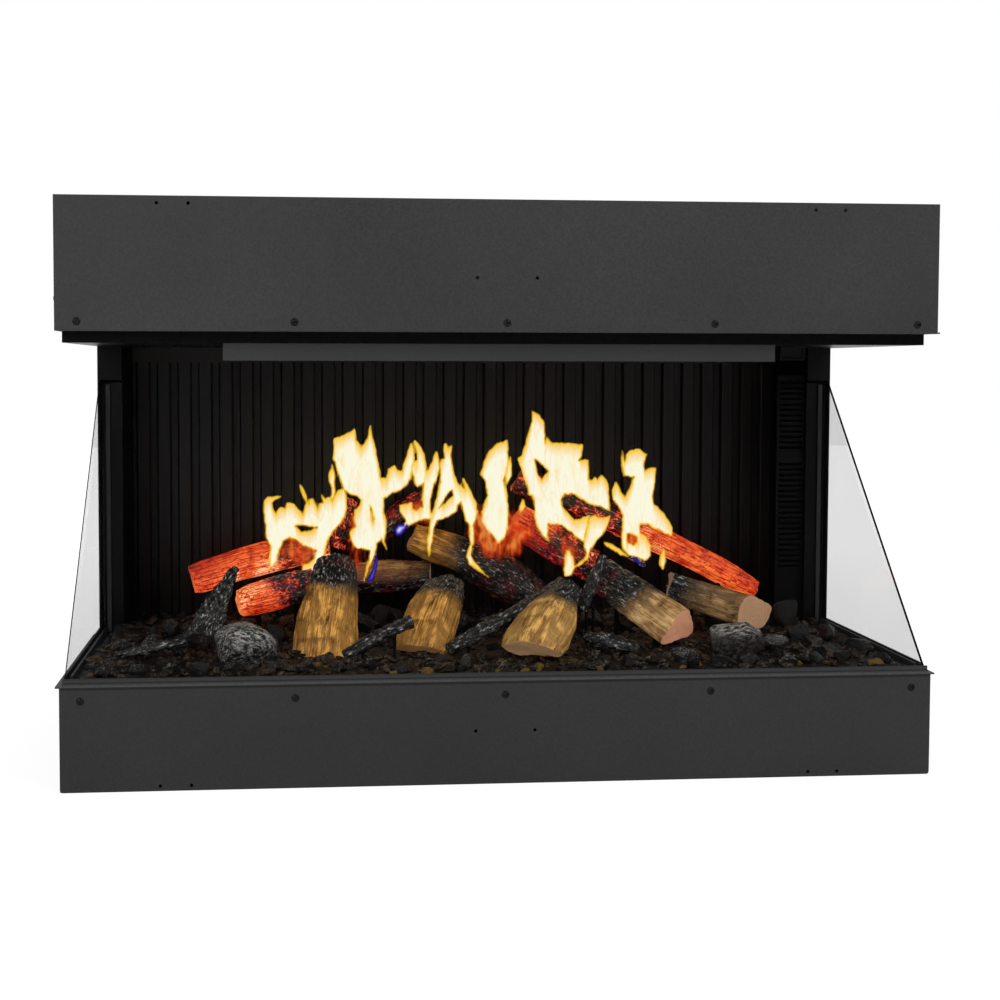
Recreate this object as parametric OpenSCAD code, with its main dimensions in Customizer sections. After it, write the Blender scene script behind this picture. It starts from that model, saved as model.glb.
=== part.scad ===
// Three-sided electric fireplace
// A header box and a base box carry a glazed chamber with a log pile.
// The leaning front pane mirrors the display in the header, which faces down.
// X runs to the right, Y to the back, Z up. The middle of the footprint is at the origin.

/* [View] */
// Part to draw

/* [Overall size] */
// Width of the header box
header_w = 870; // [780:5:960]
// How far the base stands in from the header on each side
base_in = 1; // [0:0.5:3]
// Depth between the front and the back sheets
body_d = 428; // [390:1:470]
// Height from the floor to the top sheet
height = 575; // [520:5:640]
// Height of the header box
header_h = 129; // [124:1:136]
// Height of the base box
base_h = 102; // [90:1:110]
// Thickness of the sheet metal
sheet_t = 1.5; // [1:0.1:2]

/* [Glazing] */
// Thickness of the panes
glass_t = 4; // [3:0.5:4]
// Height of the sill above the base
sill_h = 9; // [8:0.5:12]
// How far the sill stands out past the base
sill_out = 4; // [3:0.5:6]
// Clearance around a pane in its groove
glass_gap = 0.2; // [0.1:0.05:0.3]
// Distance from the front face to the top of the leaning pane
pane_back = 331; // [326:1:338]

/* [Chamber] */
// Distance from the front face to the side posts
post_at = 290; // [286:1:294]
// Depth of the side posts
post_d = 12; // [11:0.5:14]
// Width of the side posts
post_w = 27.5; // [26:0.5:32]
// Distance from the fluted wall to the back
wall_gap = 22; // [20:1:24]
// Pitch of the flutes
flute_pitch = 25.25; // [20:0.25:40]
// Depth of the flutes
flute_d = 8; // [5:0.5:10]
// Height of the plain band above the flutes
band_h = 18; // [12:1:24]
// Width of the flange with the louvre slots, beside the right post
flange_w = 33; // [26:1:36]
// Height of one louvre slot
louvre_h = 3; // [2:0.2:3.4]
// Number of louvre slots in one group
louvres = 20; // [12:1:22]

/* [Canopy] */
// Drop of the canopy frame below the header
frame_drop = 11; // [8:1:14]
// Set-back of the canopy frame
frame_back = 25; // [20:1:30]
// Length of the air outlet bar
bar_w = 554; // [500:2:600]
// Height of the air outlet bar
bar_h = 17; // [12:1:22]

/* [Heater] */
// Diameter of the fan wheel
wheel_d = 60; // [50:1:62]
// Length of the fan wheel
wheel_l = 380; // [300:10:400]
// Number of blades on the fan wheel
blades = 24; // [16:1:28]
// Diameter of the fan shaft
shaft_d = 6; // [5:0.5:8]
// Radial clearance of the fan shaft
shaft_gap = 0.05; // [0.02:0.01:0.1]

/* [Display] */
// Space beside the display
display_side = 160; // [155:1:180]
// Space behind the display
display_rear = 104; // [104:1:130]

/* [Fixings] */
// Diameter of a screw head
screw_head_d = 7.6; // [6.5:0.1:8]
// Height of a screw head
screw_head_h = 2; // [1.6:0.1:2]
// Diameter of a screw thread
screw_d = 4; // [3:0.5:4]
// Distance from the end of the header sheet to the last screw
screw_edge = 21; // [16:1:40]
// Diameter of the small fixing holes
fix_hole_d = 3.4; // [3:0.1:4]
// Diameter of the wall fixing holes in the back
wall_hole_d = 6.5; // [5:0.5:8]

/* [Log pile] */
// Diameter of the pins that carry the logs
pin_d = 5; // [4:0.5:6]
// Clearance of a log on its pins
pin_gap = 0.1; // [0.05:0.05:0.2]
// Thickness of the ember bed
bed_t = 5; // [4:0.5:6]

/* [Hidden] */
eps = 0.01;
cut = 1;
header_x = header_w / 2;
base_w = header_w - 2 * base_in;
base_x = base_w / 2;
sill_x = base_x + sill_out;
inner_x = header_x - sheet_t;
face_out = 2;
head_z = height - header_h;
roof_z = height - sheet_t;
frame_z = head_z - frame_drop;
floor_z = head_z + sheet_t;
sill_z = base_h + sill_h;
ledge_z = base_h + sheet_t;
deck_z = base_h - sheet_t;
bed_z = base_h + bed_t;
back_at = body_d - sheet_t;
wall_at = body_d - wall_gap;
chamber_h = frame_z - base_h;
canopy_x = base_x - 2.5;
casing_x = canopy_x - sheet_t;
groove_w = glass_t + 2 * glass_gap;
post_lip = 1.9;
groove_x = canopy_x - post_lip - groove_w;
glass_x = groove_x + glass_gap + glass_t;
cheek_x = canopy_x - post_w;
bar_out = 2;

// Screws and small holes in the front sheets
screw_pitch = (header_x - screw_edge) / 2;
fix_in = 97;
fix_pitch = 30;
fix_mid = 29.5;

// Louvres as shares of the height of the chamber
louvre_low = 0.207;
louvre_high = 0.637;
louvre_pitch = 0.39 * chamber_h / louvres;

// The lower face of the leaning pane runs through (pane_y, ledge_z).
pane_run = pane_back - sheet_t;
pane_angle = atan2(frame_z - ledge_z, pane_run);
pane_y = sheet_t + 0.3 + glass_t * sin(pane_angle);
pane_len = (frame_z - ledge_z - glass_t * cos(pane_angle) - 0.4) / sin(pane_angle);

// Heater box
heat_x = wheel_l / 2 + 25;
heat_y0 = 18;
heat_y1 = heat_y0 + wheel_d + 10;
heat_z0 = floor_z + 17;
heat_z1 = heat_z0 + wheel_d + 32;
heat_t = 1.5;
wheel_y = (heat_y0 + heat_y1) / 2;
wheel_z = heat_z1 - wheel_d / 2 - 10;
duct_y0 = 38;
duct_y1 = 66;
duct_x = wheel_l / 2 + 10;

// Display and speakers
display_y = 78;
display_w = header_w - 2 * display_side;
display_d = body_d - display_y - display_rear;
display_h = 14;
window_in = 14;
speaker_x = header_x - 50;
speaker_y = 230;
speaker_d = 62;

// Fittings in the back sheet
inlet_x = 105 - header_x;
switch_x = inlet_x + 55;
reset_x = switch_x + 40;
fit_z = head_z + 62;
rocker_tilt = 8;
reset_travel = 2.5;

// The log pile was set out in a chamber of this half width, depth, bed level and height
pile_x = 425.2;
pile_y = 406;
pile_z = 107;
pile_h = 333;
pile_flames = 284;
spread_x = groove_x / pile_x;
spread_y = wall_at / pile_y;
spread_z = chamber_h / pile_h;
spread = min(spread_x, spread_y, spread_z);
flame_y = pile_flames * spread_y;

// Names of all parts

// Distance from the front face turned into a Y value
function at(v) = v - body_d / 2;

// Box given by its two corners, with Y as distance from the front face
module block(x0, x1, y0, y1, z0, z1) {
    translate([x0, at(y0), z0])
        cube([x1 - x0, y1 - y0, z1 - z0]);
}

// The same box on the left and on the right side
module block_pair(x0, x1, y0, y1, z0, z1) {
    block(x0, x1, y0, y1, z0, z1);
    block(-x1, -x0, y0, y1, z0, z1);
}

// Round bar along Y that starts at a distance from the front face
module bar_y(x, y, z, d, l) {
    translate([x, at(y), z])
        rotate([-90, 0, 0])
            cylinder(d = d, h = l, $fn = 32);
}

// Round bar along X
module bar_x(x, y, z, d, l) {
    translate([x, at(y), z])
        rotate([0, 90, 0])
            cylinder(d = d, h = l, $fn = 48);
}

// Profile in the Y-Z plane drawn from the front face, pulled along X
module side_slab(x0, x1, points) {
    translate([x0, at(0), 0])
        rotate([90, 0, 90])
            linear_extrude(x1 - x0)
                polygon(points);
}

// Height of the lower face of the leaning pane at a distance from the front face
function pane_low(v) = ledge_z + (v - pane_y) * tan(pane_angle);

// Height of the upper face of the leaning pane
function pane_high(v) = pane_low(v) + glass_t / cos(pane_angle);

// Room for the leaning pane, from its lower face up and back
module above_pane(x0, x1) {
    front = post_at - 90;
    side_slab(x0, x1, [
        [front, pane_low(front) - glass_gap],
        [pane_back + 60, pane_low(pane_back + 60) - glass_gap],
        [front, pane_low(pane_back + 60) - glass_gap]]);
}

// Places of the front screws
function screw_rows() = [head_z + 9, base_h - 13];

// Holes of the front screws in one row
module screw_holes(z) {
    for (i = [-2:2])
        bar_y(i * screw_pitch, -cut, z, screw_d + 0.3, sheet_t + 2 * cut);
}

// Two pairs of small fixing holes and one pair in the middle
module fix_holes(z_edge, z_mid) {
    for (s = [-1, 1], x = [header_x - fix_in, header_x - fix_in - fix_pitch])
        bar_y(s * x, -cut, z_edge, fix_hole_d, sheet_t + 2 * cut);
    for (x = [-fix_mid, fix_mid])
        bar_y(x, -cut, z_mid, fix_hole_d, sheet_t + 2 * cut);
}

// Upright sheet in the front with rounded lower corners
module front_sheet(w, z0, z1, r) {
    translate([0, at(sheet_t), 0])
        rotate([90, 0, 0])
            linear_extrude(sheet_t)
                union() {
                    translate([-w / 2, z0 + r])
                        square([w, z1 - z0 - r]);
                    translate([-w / 2 + r, z0])
                        square([w - 2 * r, r + eps]);
                    for (s = [-1, 1])
                        translate([s * (w / 2 - r), z0 + r])
                            circle(r = r, $fn = 32);
                }
}

// Base box

module base_front() {
    color([0.2, 0.2, 0.2])
        difference() {
            front_sheet(base_w, 0, base_h, 3);
            screw_holes(screw_rows()[1]);
            fix_holes(5, 53);
        }
}

module base_floor() {
    color([0.2, 0.2, 0.2])
        block(-base_x + sheet_t, base_x - sheet_t, sheet_t, back_at, 0, sheet_t);
}

module base_side(s) {
    color([0.2, 0.2, 0.2])
        mirror([s < 0 ? 1 : 0, 0, 0])
            difference() {
                block(base_x - sheet_t, base_x, sheet_t, back_at, 0, base_h);
                // Cooling slots
                for (i = [0:7])
                    block(base_x - sheet_t - cut, base_x + cut, 150 + i * 18, 158 + i * 18, 30, 62);
            }
}

module base_deck() {
    edge = 49;
    web = 10;
    w = (2 * (base_x - edge) - 2 * web) / 3;
    color([0.15, 0.15, 0.15])
        difference() {
            union() {
                block(-base_x + sheet_t, base_x - sheet_t, sheet_t, back_at, deck_z, base_h);
                // Flange that takes the front screws
                block(-base_x + 6, base_x - 6, sheet_t, 2 * sheet_t, base_h - 22, deck_z);
            }
            for (i = [0:2])
                block(-base_x + edge + i * (w + web), -base_x + edge + i * (w + web) + w,
                    60, wall_at - 26, deck_z - cut, base_h + cut);
            for (i = [-2:2])
                bar_y(i * screw_pitch, 0, screw_rows()[1], screw_d + 0.2, 3 * sheet_t);
        }
}

module ember_lights() {
    x1 = base_x - 64;
    z0 = base_h - 42;
    w = 14;
    t = 1.6;
    lamps = 15;
    lamp_w = 6;
    lamp_pitch = (2 * x1 - 40) / (lamps - 1);
    color([0.9, 0.9, 0.85])
        for (y = [130, 220, 310] * spread_y) {
            block(-x1, x1, y, y + w, z0, z0 + t);
            for (x = [-x1 + 30, 0, x1 - 30 - w])
                block(x, x + w, y, y + w, sheet_t, z0);
            for (i = [0:lamps - 1])
                block(-x1 + 15 + i * lamp_pitch, -x1 + 15 + i * lamp_pitch + lamp_w,
                    y + 4, y + 4 + lamp_w, z0 + t, z0 + 2 * t);
        }
}

// Glazed chamber

module glass_sill() {
    groove_z = ledge_z + 1.5;
    color([0.22, 0.22, 0.22])
        difference() {
            union() {
                // Flat flange all round
                block(-sill_x, sill_x, 0, 12, base_h, ledge_z);
                block_pair(groove_x - 3, sill_x, 12, post_at, base_h, ledge_z);
                // Front upstand in two steps
                block(-canopy_x, canopy_x, 0, 1.4, ledge_z, ledge_z + 3);
                block(-canopy_x + 0.8, canopy_x - 0.8, 0.5, 1.4, ledge_z + 3, sill_z);
                // Side upstands that hold the side panes
                block_pair(groove_x - 2.2, canopy_x, 14, post_at, ledge_z, sill_z);
            }
            block_pair(groove_x, groove_x + groove_w, 13, post_at + cut, groove_z, sill_z + cut);
            side_slab(-glass_x - 0.4, glass_x + 0.4, [
                [1.6, pane_high(1.6) - 1.2],
                [pane_y - 0.2, ledge_z],
                [pane_y + 60, pane_low(pane_y + 60) - 0.2],
                [1.6, pane_low(pane_y + 60) - 0.2]]);
        }
}

module post(s) {
    rib_x = cheek_x + 13.5;
    color([0.08, 0.08, 0.08])
        mirror([s < 0 ? 1 : 0, 0, 0])
            difference() {
                block(cheek_x, canopy_x, post_at, post_at + post_d, base_h, frame_z);
                // Groove for the side pane
                block(groove_x, groove_x + groove_w, post_at - cut, post_at + post_d - 1.2,
                    base_h + 2, frame_z + cut);
                // Set-back face beside the bright bead
                block(cheek_x - cut, rib_x, post_at - cut, post_at + 3, base_h - cut, frame_z + cut);
                block(rib_x + 4.6, groove_x - 1, post_at - cut, post_at + 2, base_h - cut, frame_z + cut);
                above_pane(cheek_x - cut, groove_x + groove_w);
            }
}

module cheek(s) {
    color([0.07, 0.07, 0.07])
        mirror([s < 0 ? 1 : 0, 0, 0])
            difference() {
                union() {
                    block(cheek_x, cheek_x + sheet_t, post_at + post_d, back_at, base_h, frame_z);
                    // Foot flange on the deck
                    block(cheek_x + sheet_t, cheek_x + 14, post_at + post_d + 20, back_at - 20,
                        base_h, ledge_z);
                    if (s > 0)
                        air_flange();
                }
                above_pane(cheek_x - flange_w - cut, cheek_x + 20);
            }
}

// Flange turned in beside the right post, with two groups of louvre slots for the intake air
module air_flange() {
    y0 = post_at + post_d;
    difference() {
        block(cheek_x - flange_w, cheek_x + eps, y0, y0 + sheet_t, bed_z + 3, frame_z);
        for (i = [0:louvres - 1], z = [louvre_low, louvre_high])
            if (z == louvre_low || i < louvres - 7)
                block(cheek_x - flange_w + 3, cheek_x - 2, y0 - cut, y0 + sheet_t + cut,
                    base_h + z * chamber_h + i * louvre_pitch,
                    base_h + z * chamber_h + i * louvre_pitch + louvre_h);
    }
}

module casing(s) {
    color([0.12, 0.12, 0.12])
        mirror([s < 0 ? 1 : 0, 0, 0])
            union() {
                block(casing_x, canopy_x, post_at + post_d, back_at, base_h, frame_z);
                // Inward flange at the back
                block(casing_x - 16, casing_x, back_at - sheet_t, back_at, base_h + 6, frame_z - 6);
            }
}

// Corner points of one flute, seen from above
function flute(i, x0, p) = [
    [x0 + i * p, flute_d],
    [x0 + i * p + 0.14 * p, flute_d],
    [x0 + i * p + 0.22 * p, 0],
    [x0 + i * p + 0.78 * p, 0],
    [x0 + i * p + 0.86 * p, flute_d]];

module rear_wall() {
    w = 2 * cheek_x;
    n = floor(w / flute_pitch);
    p = w / n;
    t = 1.2;
    front = [for (i = [0:n - 1], q = flute(i, -w / 2, p)) q];
    flute_top = frame_z - band_h;
    color([0.1, 0.1, 0.1])
        union() {
            translate([0, at(wall_at), base_h])
                linear_extrude(flute_top - base_h)
                    polygon(concat([[-w / 2, flute_d + t]], front,
                        [[w / 2, flute_d], [w / 2, flute_d + t]]));
            block(-w / 2, w / 2, wall_at - 1, wall_at + flute_d + t, flute_top, frame_z);
        }
}

module front_glass() {
    color([0.85, 0.87, 0.87, 0.25])
        translate([-glass_x, at(pane_y), ledge_z])
            rotate([pane_angle, 0, 0])
                cube([2 * glass_x, pane_len, glass_t]);
}

module side_glass(s) {
    foot_z = ledge_z + 1.5 + glass_gap;
    front_edge = pane_y + (foot_z - ledge_z) / tan(pane_angle) + 9;
    back_edge = post_at + post_d - 1.2 - glass_gap;
    color([0.85, 0.87, 0.87, 0.25])
        mirror([s < 0 ? 1 : 0, 0, 0])
            side_slab(glass_x - glass_t, glass_x, [
                [front_edge, foot_z],
                [back_edge, foot_z],
                [back_edge, pane_low(back_edge)],
                [front_edge, pane_low(front_edge)]]);
}

module glass_brackets() {
    top_y = post_at + (frame_z - pane_high(post_at)) / tan(pane_angle);
    color([0.05, 0.05, 0.05])
        for (s = [0, 1])
            mirror([s, 0, 0])
                side_slab(cheek_x, glass_x, [
                    [post_at, pane_high(post_at)],
                    [top_y, frame_z],
                    [post_at, frame_z]]);
}

// Slots along Y in two rows at one place of the canopy
module slot_group(x0, n, z) {
    for (i = [0:n - 1], y = [201, 264])
        block(x0 + i * 7, x0 + i * 7 + 4, y, y + 50, z - cut, z + 2 * cut + sheet_t);
}

module canopy_frame() {
    color([0.03, 0.03, 0.03])
        difference() {
            block(-canopy_x, canopy_x, frame_back, back_at, frame_z, head_z);
            block(-canopy_x + sheet_t, canopy_x - sheet_t, frame_back + sheet_t, back_at - sheet_t,
                frame_z + sheet_t, head_z + cut);
            // Opening below the display
            block(-display_w / 2 + window_in, display_w / 2 - window_in, display_y + window_in,
                display_y + display_d - window_in, frame_z - cut, head_z);
            // Air outlet
            block(-duct_x, duct_x, duct_y0, duct_y1, frame_z - cut, head_z);
            // Sound and cooling slots
            slot_group(-header_x + 31, 6, frame_z);
            slot_group(header_x - 31 - 39, 6, frame_z);
            slot_group(-header_x + 95, 8, frame_z);
        }
}

module outlet_bar() {
    color([0.2, 0.2, 0.2])
        union() {
            block(-bar_w / 2, bar_w / 2, frame_back + bar_out, frame_back + bar_out + sheet_t,
                frame_z - bar_h, frame_z);
            block(-bar_w / 2, bar_w / 2, frame_back + bar_out + sheet_t, duct_y0 - 1,
                frame_z - sheet_t, frame_z);
        }
}

module receiver_window() {
    x0 = header_x - 105;
    x1 = x0 + 28;
    y0 = 168;
    color([0.05, 0.05, 0.05])
        difference() {
            side_slab(x0, x1, [
                [y0, frame_z],
                [y0 + 3, frame_z - 15],
                [y0 + 14, frame_z - 15],
                [y0 + 14, frame_z]]);
            side_slab(x0 + 2, x1 - 2, [
                [y0 - 1, frame_z - 2],
                [y0 + 2.2, frame_z - 13],
                [y0 + 4.5, frame_z - 13],
                [y0 + 2.2, frame_z - 2]]);
        }
}

// Header box

module header_front() {
    color([0.24, 0.24, 0.24])
        difference() {
            union() {
                block(-header_x, header_x, 0, sheet_t, head_z, height);
                block(-inner_x + 1, inner_x - 1, sheet_t, 13, head_z, floor_z);
            }
            screw_holes(screw_rows()[0]);
            fix_holes(height - 7, head_z + 53);
        }
}

module header_side(s) {
    color([0.24, 0.24, 0.24])
        mirror([s < 0 ? 1 : 0, 0, 0])
            difference() {
                union() {
                    block(inner_x, header_x, sheet_t, body_d, head_z, height);
                    // Small tab at the front corner, on the right side only
                    if (s > 0)
                        block(header_x, header_x + 3, sheet_t, sheet_t + 12, head_z, floor_z);
                }
                translate([inner_x - cut, at(9), head_z + 31])
                    rotate([0, 90, 0])
                        cylinder(d = screw_d + 0.3, h = sheet_t + 2 * cut, $fn = 32);
                // Cooling slots
                for (i = [0:9])
                    block(inner_x - cut, header_x + cut, 220 + i * 16, 227 + i * 16,
                        head_z + 45, head_z + 85);
            }
}

module header_top() {
    color([0.24, 0.24, 0.24])
        difference() {
            block(-inner_x, inner_x, sheet_t, body_d, roof_z, height);
            // Air intake above the fan
            for (i = [-14:14])
                block(i * 14 - 3, i * 14 + 3, heat_y0 + 12, heat_y0 + 52, roof_z - cut, height + cut);
        }
}

module header_floor() {
    color([0.15, 0.15, 0.15])
        difference() {
            union() {
                block(-inner_x, inner_x, 13, back_at, head_z, floor_z);
                // Rail that takes the front screws
                block(-inner_x + 4, inner_x - 4, sheet_t + eps, sheet_t + 2, floor_z, head_z + 18);
                block(-inner_x + 4, inner_x - 4, sheet_t + 2, 16, floor_z, floor_z + sheet_t);
            }
            block(-display_w / 2 + window_in, display_w / 2 - window_in, display_y + window_in,
                display_y + display_d - window_in, head_z - cut, floor_z + cut);
            block(-duct_x, duct_x, duct_y0, duct_y1, head_z - cut, floor_z + cut);
            slot_group(-header_x + 31, 6, head_z);
            slot_group(header_x - 31 - 39, 6, head_z);
            slot_group(-header_x + 95, 8, head_z);
            for (i = [-2:2])
                bar_y(i * screw_pitch, 0, screw_rows()[0], screw_d + 0.2, 6);
        }
}

module back_panel() {
    color([0.2, 0.2, 0.2])
        difference() {
            block(-inner_x, inner_x, back_at, body_d, 0, roof_z);
            // Mains inlet, switch and reset button
            block(inlet_x - 14, inlet_x + 14, back_at - cut, body_d + cut, fit_z - 10.5, fit_z + 10.5);
            block(switch_x - 7, switch_x + 7, back_at - cut, body_d + cut, fit_z - 11, fit_z + 11);
            bar_y(reset_x, back_at - cut, fit_z, 12.4, sheet_t + 2 * cut);
            // Cooling slots of the header and of the base
            for (i = [0:13], z = [head_z + 30, head_z + 75])
                block(-120 + i * 28, -108 + i * 28, back_at - cut, body_d + cut, z, z + 28);
            for (i = [0:9])
                block(-140 + i * 28, -128 + i * 28, back_at - cut, body_d + cut, 40, 68);
            // Wall fixing holes
            for (s = [-1, 1], z = [60, head_z - 46])
                bar_y(s * (header_x - 55), back_at - cut, z, wall_hole_d, sheet_t + 2 * cut);
        }
}

// Button-head screw that points along +Y with its head on the outer face
module screw(x, z) {
    difference() {
        union() {
            bar_y(x, -screw_head_h, z, screw_head_d, screw_head_h);
            bar_y(x, -eps, z, screw_d, 8);
        }
        translate([x, at(-screw_head_h - cut), z])
            rotate([-90, 0, 0])
                cylinder(d = 2.9, h = cut + 1.3, $fn = 6);
    }
}

module panel_screws() {
    color([0.1, 0.1, 0.1]) {
        for (z = screw_rows(), i = [-2:2])
            screw(i * screw_pitch, z);
        for (s = [0, 1])
            mirror([s, 0, 0])
                union() {
                    bar_x(header_x, 9, head_z + 31, screw_head_d, screw_head_h);
                    bar_x(header_x - 8, 9, head_z + 31, screw_d, 8);
                }
    }
}

// Display and electrics

module display_housing() {
    x = display_w / 2;
    color([0.12, 0.12, 0.12])
        difference() {
            block(-x, x, display_y, display_y + display_d, floor_z, floor_z + display_h);
            block(-x + 3, x - 3, display_y + 3, display_y + display_d - 3, floor_z - cut, floor_z + 2.4);
            block(-x + 24, x - 24, display_y + 24, display_y + display_d - 24,
                floor_z + 4, floor_z + display_h - 1.5);
        }
}

module display_screen() {
    x = display_w / 2;
    color([0.6, 0.4, 0.2])
        block(-x + 3, x - 3, display_y + 3, display_y + display_d - 3, floor_z, floor_z + 2.4);
}

module heater_housing() {
    color([0.55, 0.56, 0.58])
        difference() {
            union() {
                block(-heat_x, heat_x, heat_y0, heat_y1, heat_z0, heat_z1);
                block(-duct_x - heat_t, duct_x + heat_t, duct_y0 - heat_t, duct_y1 + heat_t,
                    floor_z, heat_z0 + eps);
            }
            block(-heat_x + heat_t, heat_x - heat_t, heat_y0 + heat_t, heat_y1 - heat_t,
                heat_z0 + heat_t, heat_z1 - heat_t);
            block(-duct_x, duct_x, duct_y0, duct_y1, floor_z - cut, heat_z0 + 2 * heat_t);
            bar_x(-heat_x - cut, wheel_y, wheel_z, shaft_d + 2 * shaft_gap, 2 * heat_x + 2 * cut);
            for (i = [-12:12])
                block(i * 14 - 3, i * 14 + 3, heat_y0 + 12, heat_y0 + 52,
                    heat_z1 - heat_t - cut, heat_z1 + cut);
        }
}

module fan_wheel() {
    disc_t = 1.5;
    discs = 5;
    gap = (wheel_l - disc_t) / (discs - 1);
    color([0.7, 0.7, 0.72])
        union() {
            bar_x(-heat_x - 1.2, wheel_y, wheel_z, shaft_d, 2 * heat_x + 1.2 + 26);
            for (i = [0:discs - 1])
                bar_x(-wheel_l / 2 + i * gap, wheel_y, wheel_z, wheel_d, disc_t);
            for (k = [0:blades - 1])
                translate([-wheel_l / 2, at(wheel_y), wheel_z])
                    rotate([k * 360 / blades, 0, 0])
                        translate([0, wheel_d / 2 - 8, -0.5])
                            rotate([24, 0, 0])
                                cube([wheel_l, 7, 1]);
        }
}

module fan_motor() {
    color([0.35, 0.36, 0.38])
        difference() {
            union() {
                bar_x(heat_x, wheel_y, wheel_z, 24, 6);
                bar_x(heat_x + 6, wheel_y, wheel_z, 52, 34);
                bar_x(heat_x + 40, wheel_y, wheel_z, 18, 5);
                // Foot bolted to the end of the heater box
                block(heat_x, heat_x + 2, wheel_y - 26, wheel_y + 26, wheel_z - 26, wheel_z - 10);
                block(heat_x + 2, heat_x + 8, wheel_y - 20, wheel_y + 20, wheel_z - 24, wheel_z - 18);
            }
            bar_x(heat_x - cut, wheel_y, wheel_z, shaft_d + 2 * shaft_gap, 28 + cut);
        }
}

module heating_element() {
    x = wheel_l / 2;
    n = 38;
    fin_pitch = (2 * x - 1) / n;
    color([0.75, 0.72, 0.66])
        union() {
            block(-x, x, duct_y0, duct_y0 + 3, floor_z + 4, floor_z + 16);
            block(-x, x, duct_y1 - 3, duct_y1, floor_z + 4, floor_z + 16);
            block(-x, x, wheel_y - 2 - 1, wheel_y + 2 - 1, floor_z + 4, floor_z + 16);
            for (i = [0:n])
                block(-x + i * fin_pitch, -x + i * fin_pitch + 1, duct_y0 + 3 - eps, duct_y1 - 3 + eps,
                    floor_z + 5, floor_z + 15);
        }
}

module control_board() {
    x0 = inlet_x - 10;
    y0 = display_y + display_d + 12;
    z0 = floor_z + 8;
    color([0.1, 0.35, 0.2])
        union() {
            block(x0, x0 + 150, y0, y0 + 70, z0, z0 + 1.6);
            for (x = [x0 + 5, x0 + 145], y = [y0 + 5, y0 + 65])
                translate([x, at(y), floor_z])
                    cylinder(d = 6, h = 8 + eps, $fn = 24);
            block(x0 + 20, x0 + 52, y0 + 12, y0 + 40, z0 + 1.6, z0 + 24);
            block(x0 + 62, x0 + 90, y0 + 10, y0 + 34, z0 + 1.6, z0 + 16);
            for (i = [0:3])
                block(x0 + 20 + i * 28, x0 + 42 + i * 28, y0 + 52, y0 + 66, z0 + 1.6, z0 + 13);
            for (i = [0:1])
                translate([x0 + 108 + i * 20, at(y0 + 24), z0 + 1.6])
                    cylinder(d = 12, h = 20, $fn = 32);
        }
}

module power_supply() {
    x0 = 110;
    y0 = display_y + display_d + 12;
    color([0.7, 0.71, 0.72])
        difference() {
            block(x0, x0 + 160, y0, y0 + 80, floor_z, floor_z + 38);
            block(x0 + 2, x0 + 158, y0 + 2, y0 + 78, floor_z + 6, floor_z + 36.8);
            for (i = [0:9], j = [0:3])
                block(x0 + 20 + i * 13, x0 + 28 + i * 13, y0 + 14 + j * 15, y0 + 20 + j * 15,
                    floor_z + 30, floor_z + 40);
        }
}

module speakers() {
    color([0.1, 0.1, 0.1])
        for (s = [-1, 1])
            translate([s * speaker_x, at(speaker_y + 27), floor_z])
                difference() {
                    union() {
                        cylinder(d = speaker_d, h = 3, $fn = 48);
                        cylinder(d1 = speaker_d - 4, d2 = 34, h = 20, $fn = 48);
                        translate([0, 0, 20 - eps])
                            cylinder(d = 36, h = 12, $fn = 48);
                    }
                    translate([0, 0, -cut])
                        cylinder(d1 = speaker_d - 10, d2 = 22, h = 16, $fn = 48);
                }
}

module mains_inlet() {
    color([0.06, 0.06, 0.06])
        difference() {
            union() {
                block(inlet_x - 13.6, inlet_x + 13.6, body_d - 24, body_d, fit_z - 10, fit_z + 10);
                block(inlet_x - 24, inlet_x + 24, body_d, body_d + face_out, fit_z - 14, fit_z + 14);
            }
            block(inlet_x - 11.5, inlet_x + 11.5, body_d - 15, body_d + face_out + cut,
                fit_z - 7.5, fit_z + 7.5);
            for (x = [-7, 0, 7])
                block(inlet_x + x - 1.1, inlet_x + x + 1.1, body_d - 24 - cut, body_d - 12,
                    fit_z - 2.2, fit_z + 2.2);
            for (x = [-19.5, 19.5])
                bar_y(inlet_x + x, body_d - cut, fit_z, 3.2, face_out + 2 * cut);
        }
}

module switch_body() {
    color([0.06, 0.06, 0.06])
        difference() {
            union() {
                block(switch_x - 6.8, switch_x + 6.8, body_d - 18, body_d, fit_z - 10.8, fit_z + 10.8);
                block(switch_x - 8.5, switch_x + 8.5, body_d, body_d + 1.4, fit_z - 12.5, fit_z + 12.5);
            }
            block(switch_x - 5.6, switch_x + 5.6, body_d - 13, body_d + 2 + cut, fit_z - 9.8, fit_z + 9.8);
            // Sockets of the rocker trunnions
            bar_x(switch_x - 6.3, body_d - 6, fit_z, 2.4 + 2 * shaft_gap, 12.6);
        }
}

module rocker() {
    color([0.5, 0.05, 0.05])
        translate([switch_x, at(body_d - 6), fit_z])
            rotate([rocker_tilt, 0, 0])
                union() {
                    rotate([90, 0, 90])
                        translate([0, 0, -5.2])
                            linear_extrude(10.4)
                                polygon([[-3, -4], [3.8, -8.1], [6.6, -8.4], [5.6, 0],
                                    [6.6, 8.4], [3.8, 8.1], [-3, 4]]);
                    translate([-6, 0, 0])
                        rotate([0, 90, 0])
                            cylinder(d = 2.4, h = 12, $fn = 24);
                }
}

module cutout_body() {
    color([0.85, 0.84, 0.8])
        difference() {
            union() {
                bar_y(reset_x, body_d - 20, fit_z, 12, 20);
                bar_y(reset_x, body_d, fit_z, 16, 1);
            }
            bar_y(reset_x, body_d - 12, fit_z, 7, 14);
        }
}

module reset_button() {
    color([0.7, 0.1, 0.08])
        bar_y(reset_x, body_d - 9, fit_z, 6.6, 10.9);
}

// Ember bed and log pile

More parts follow.
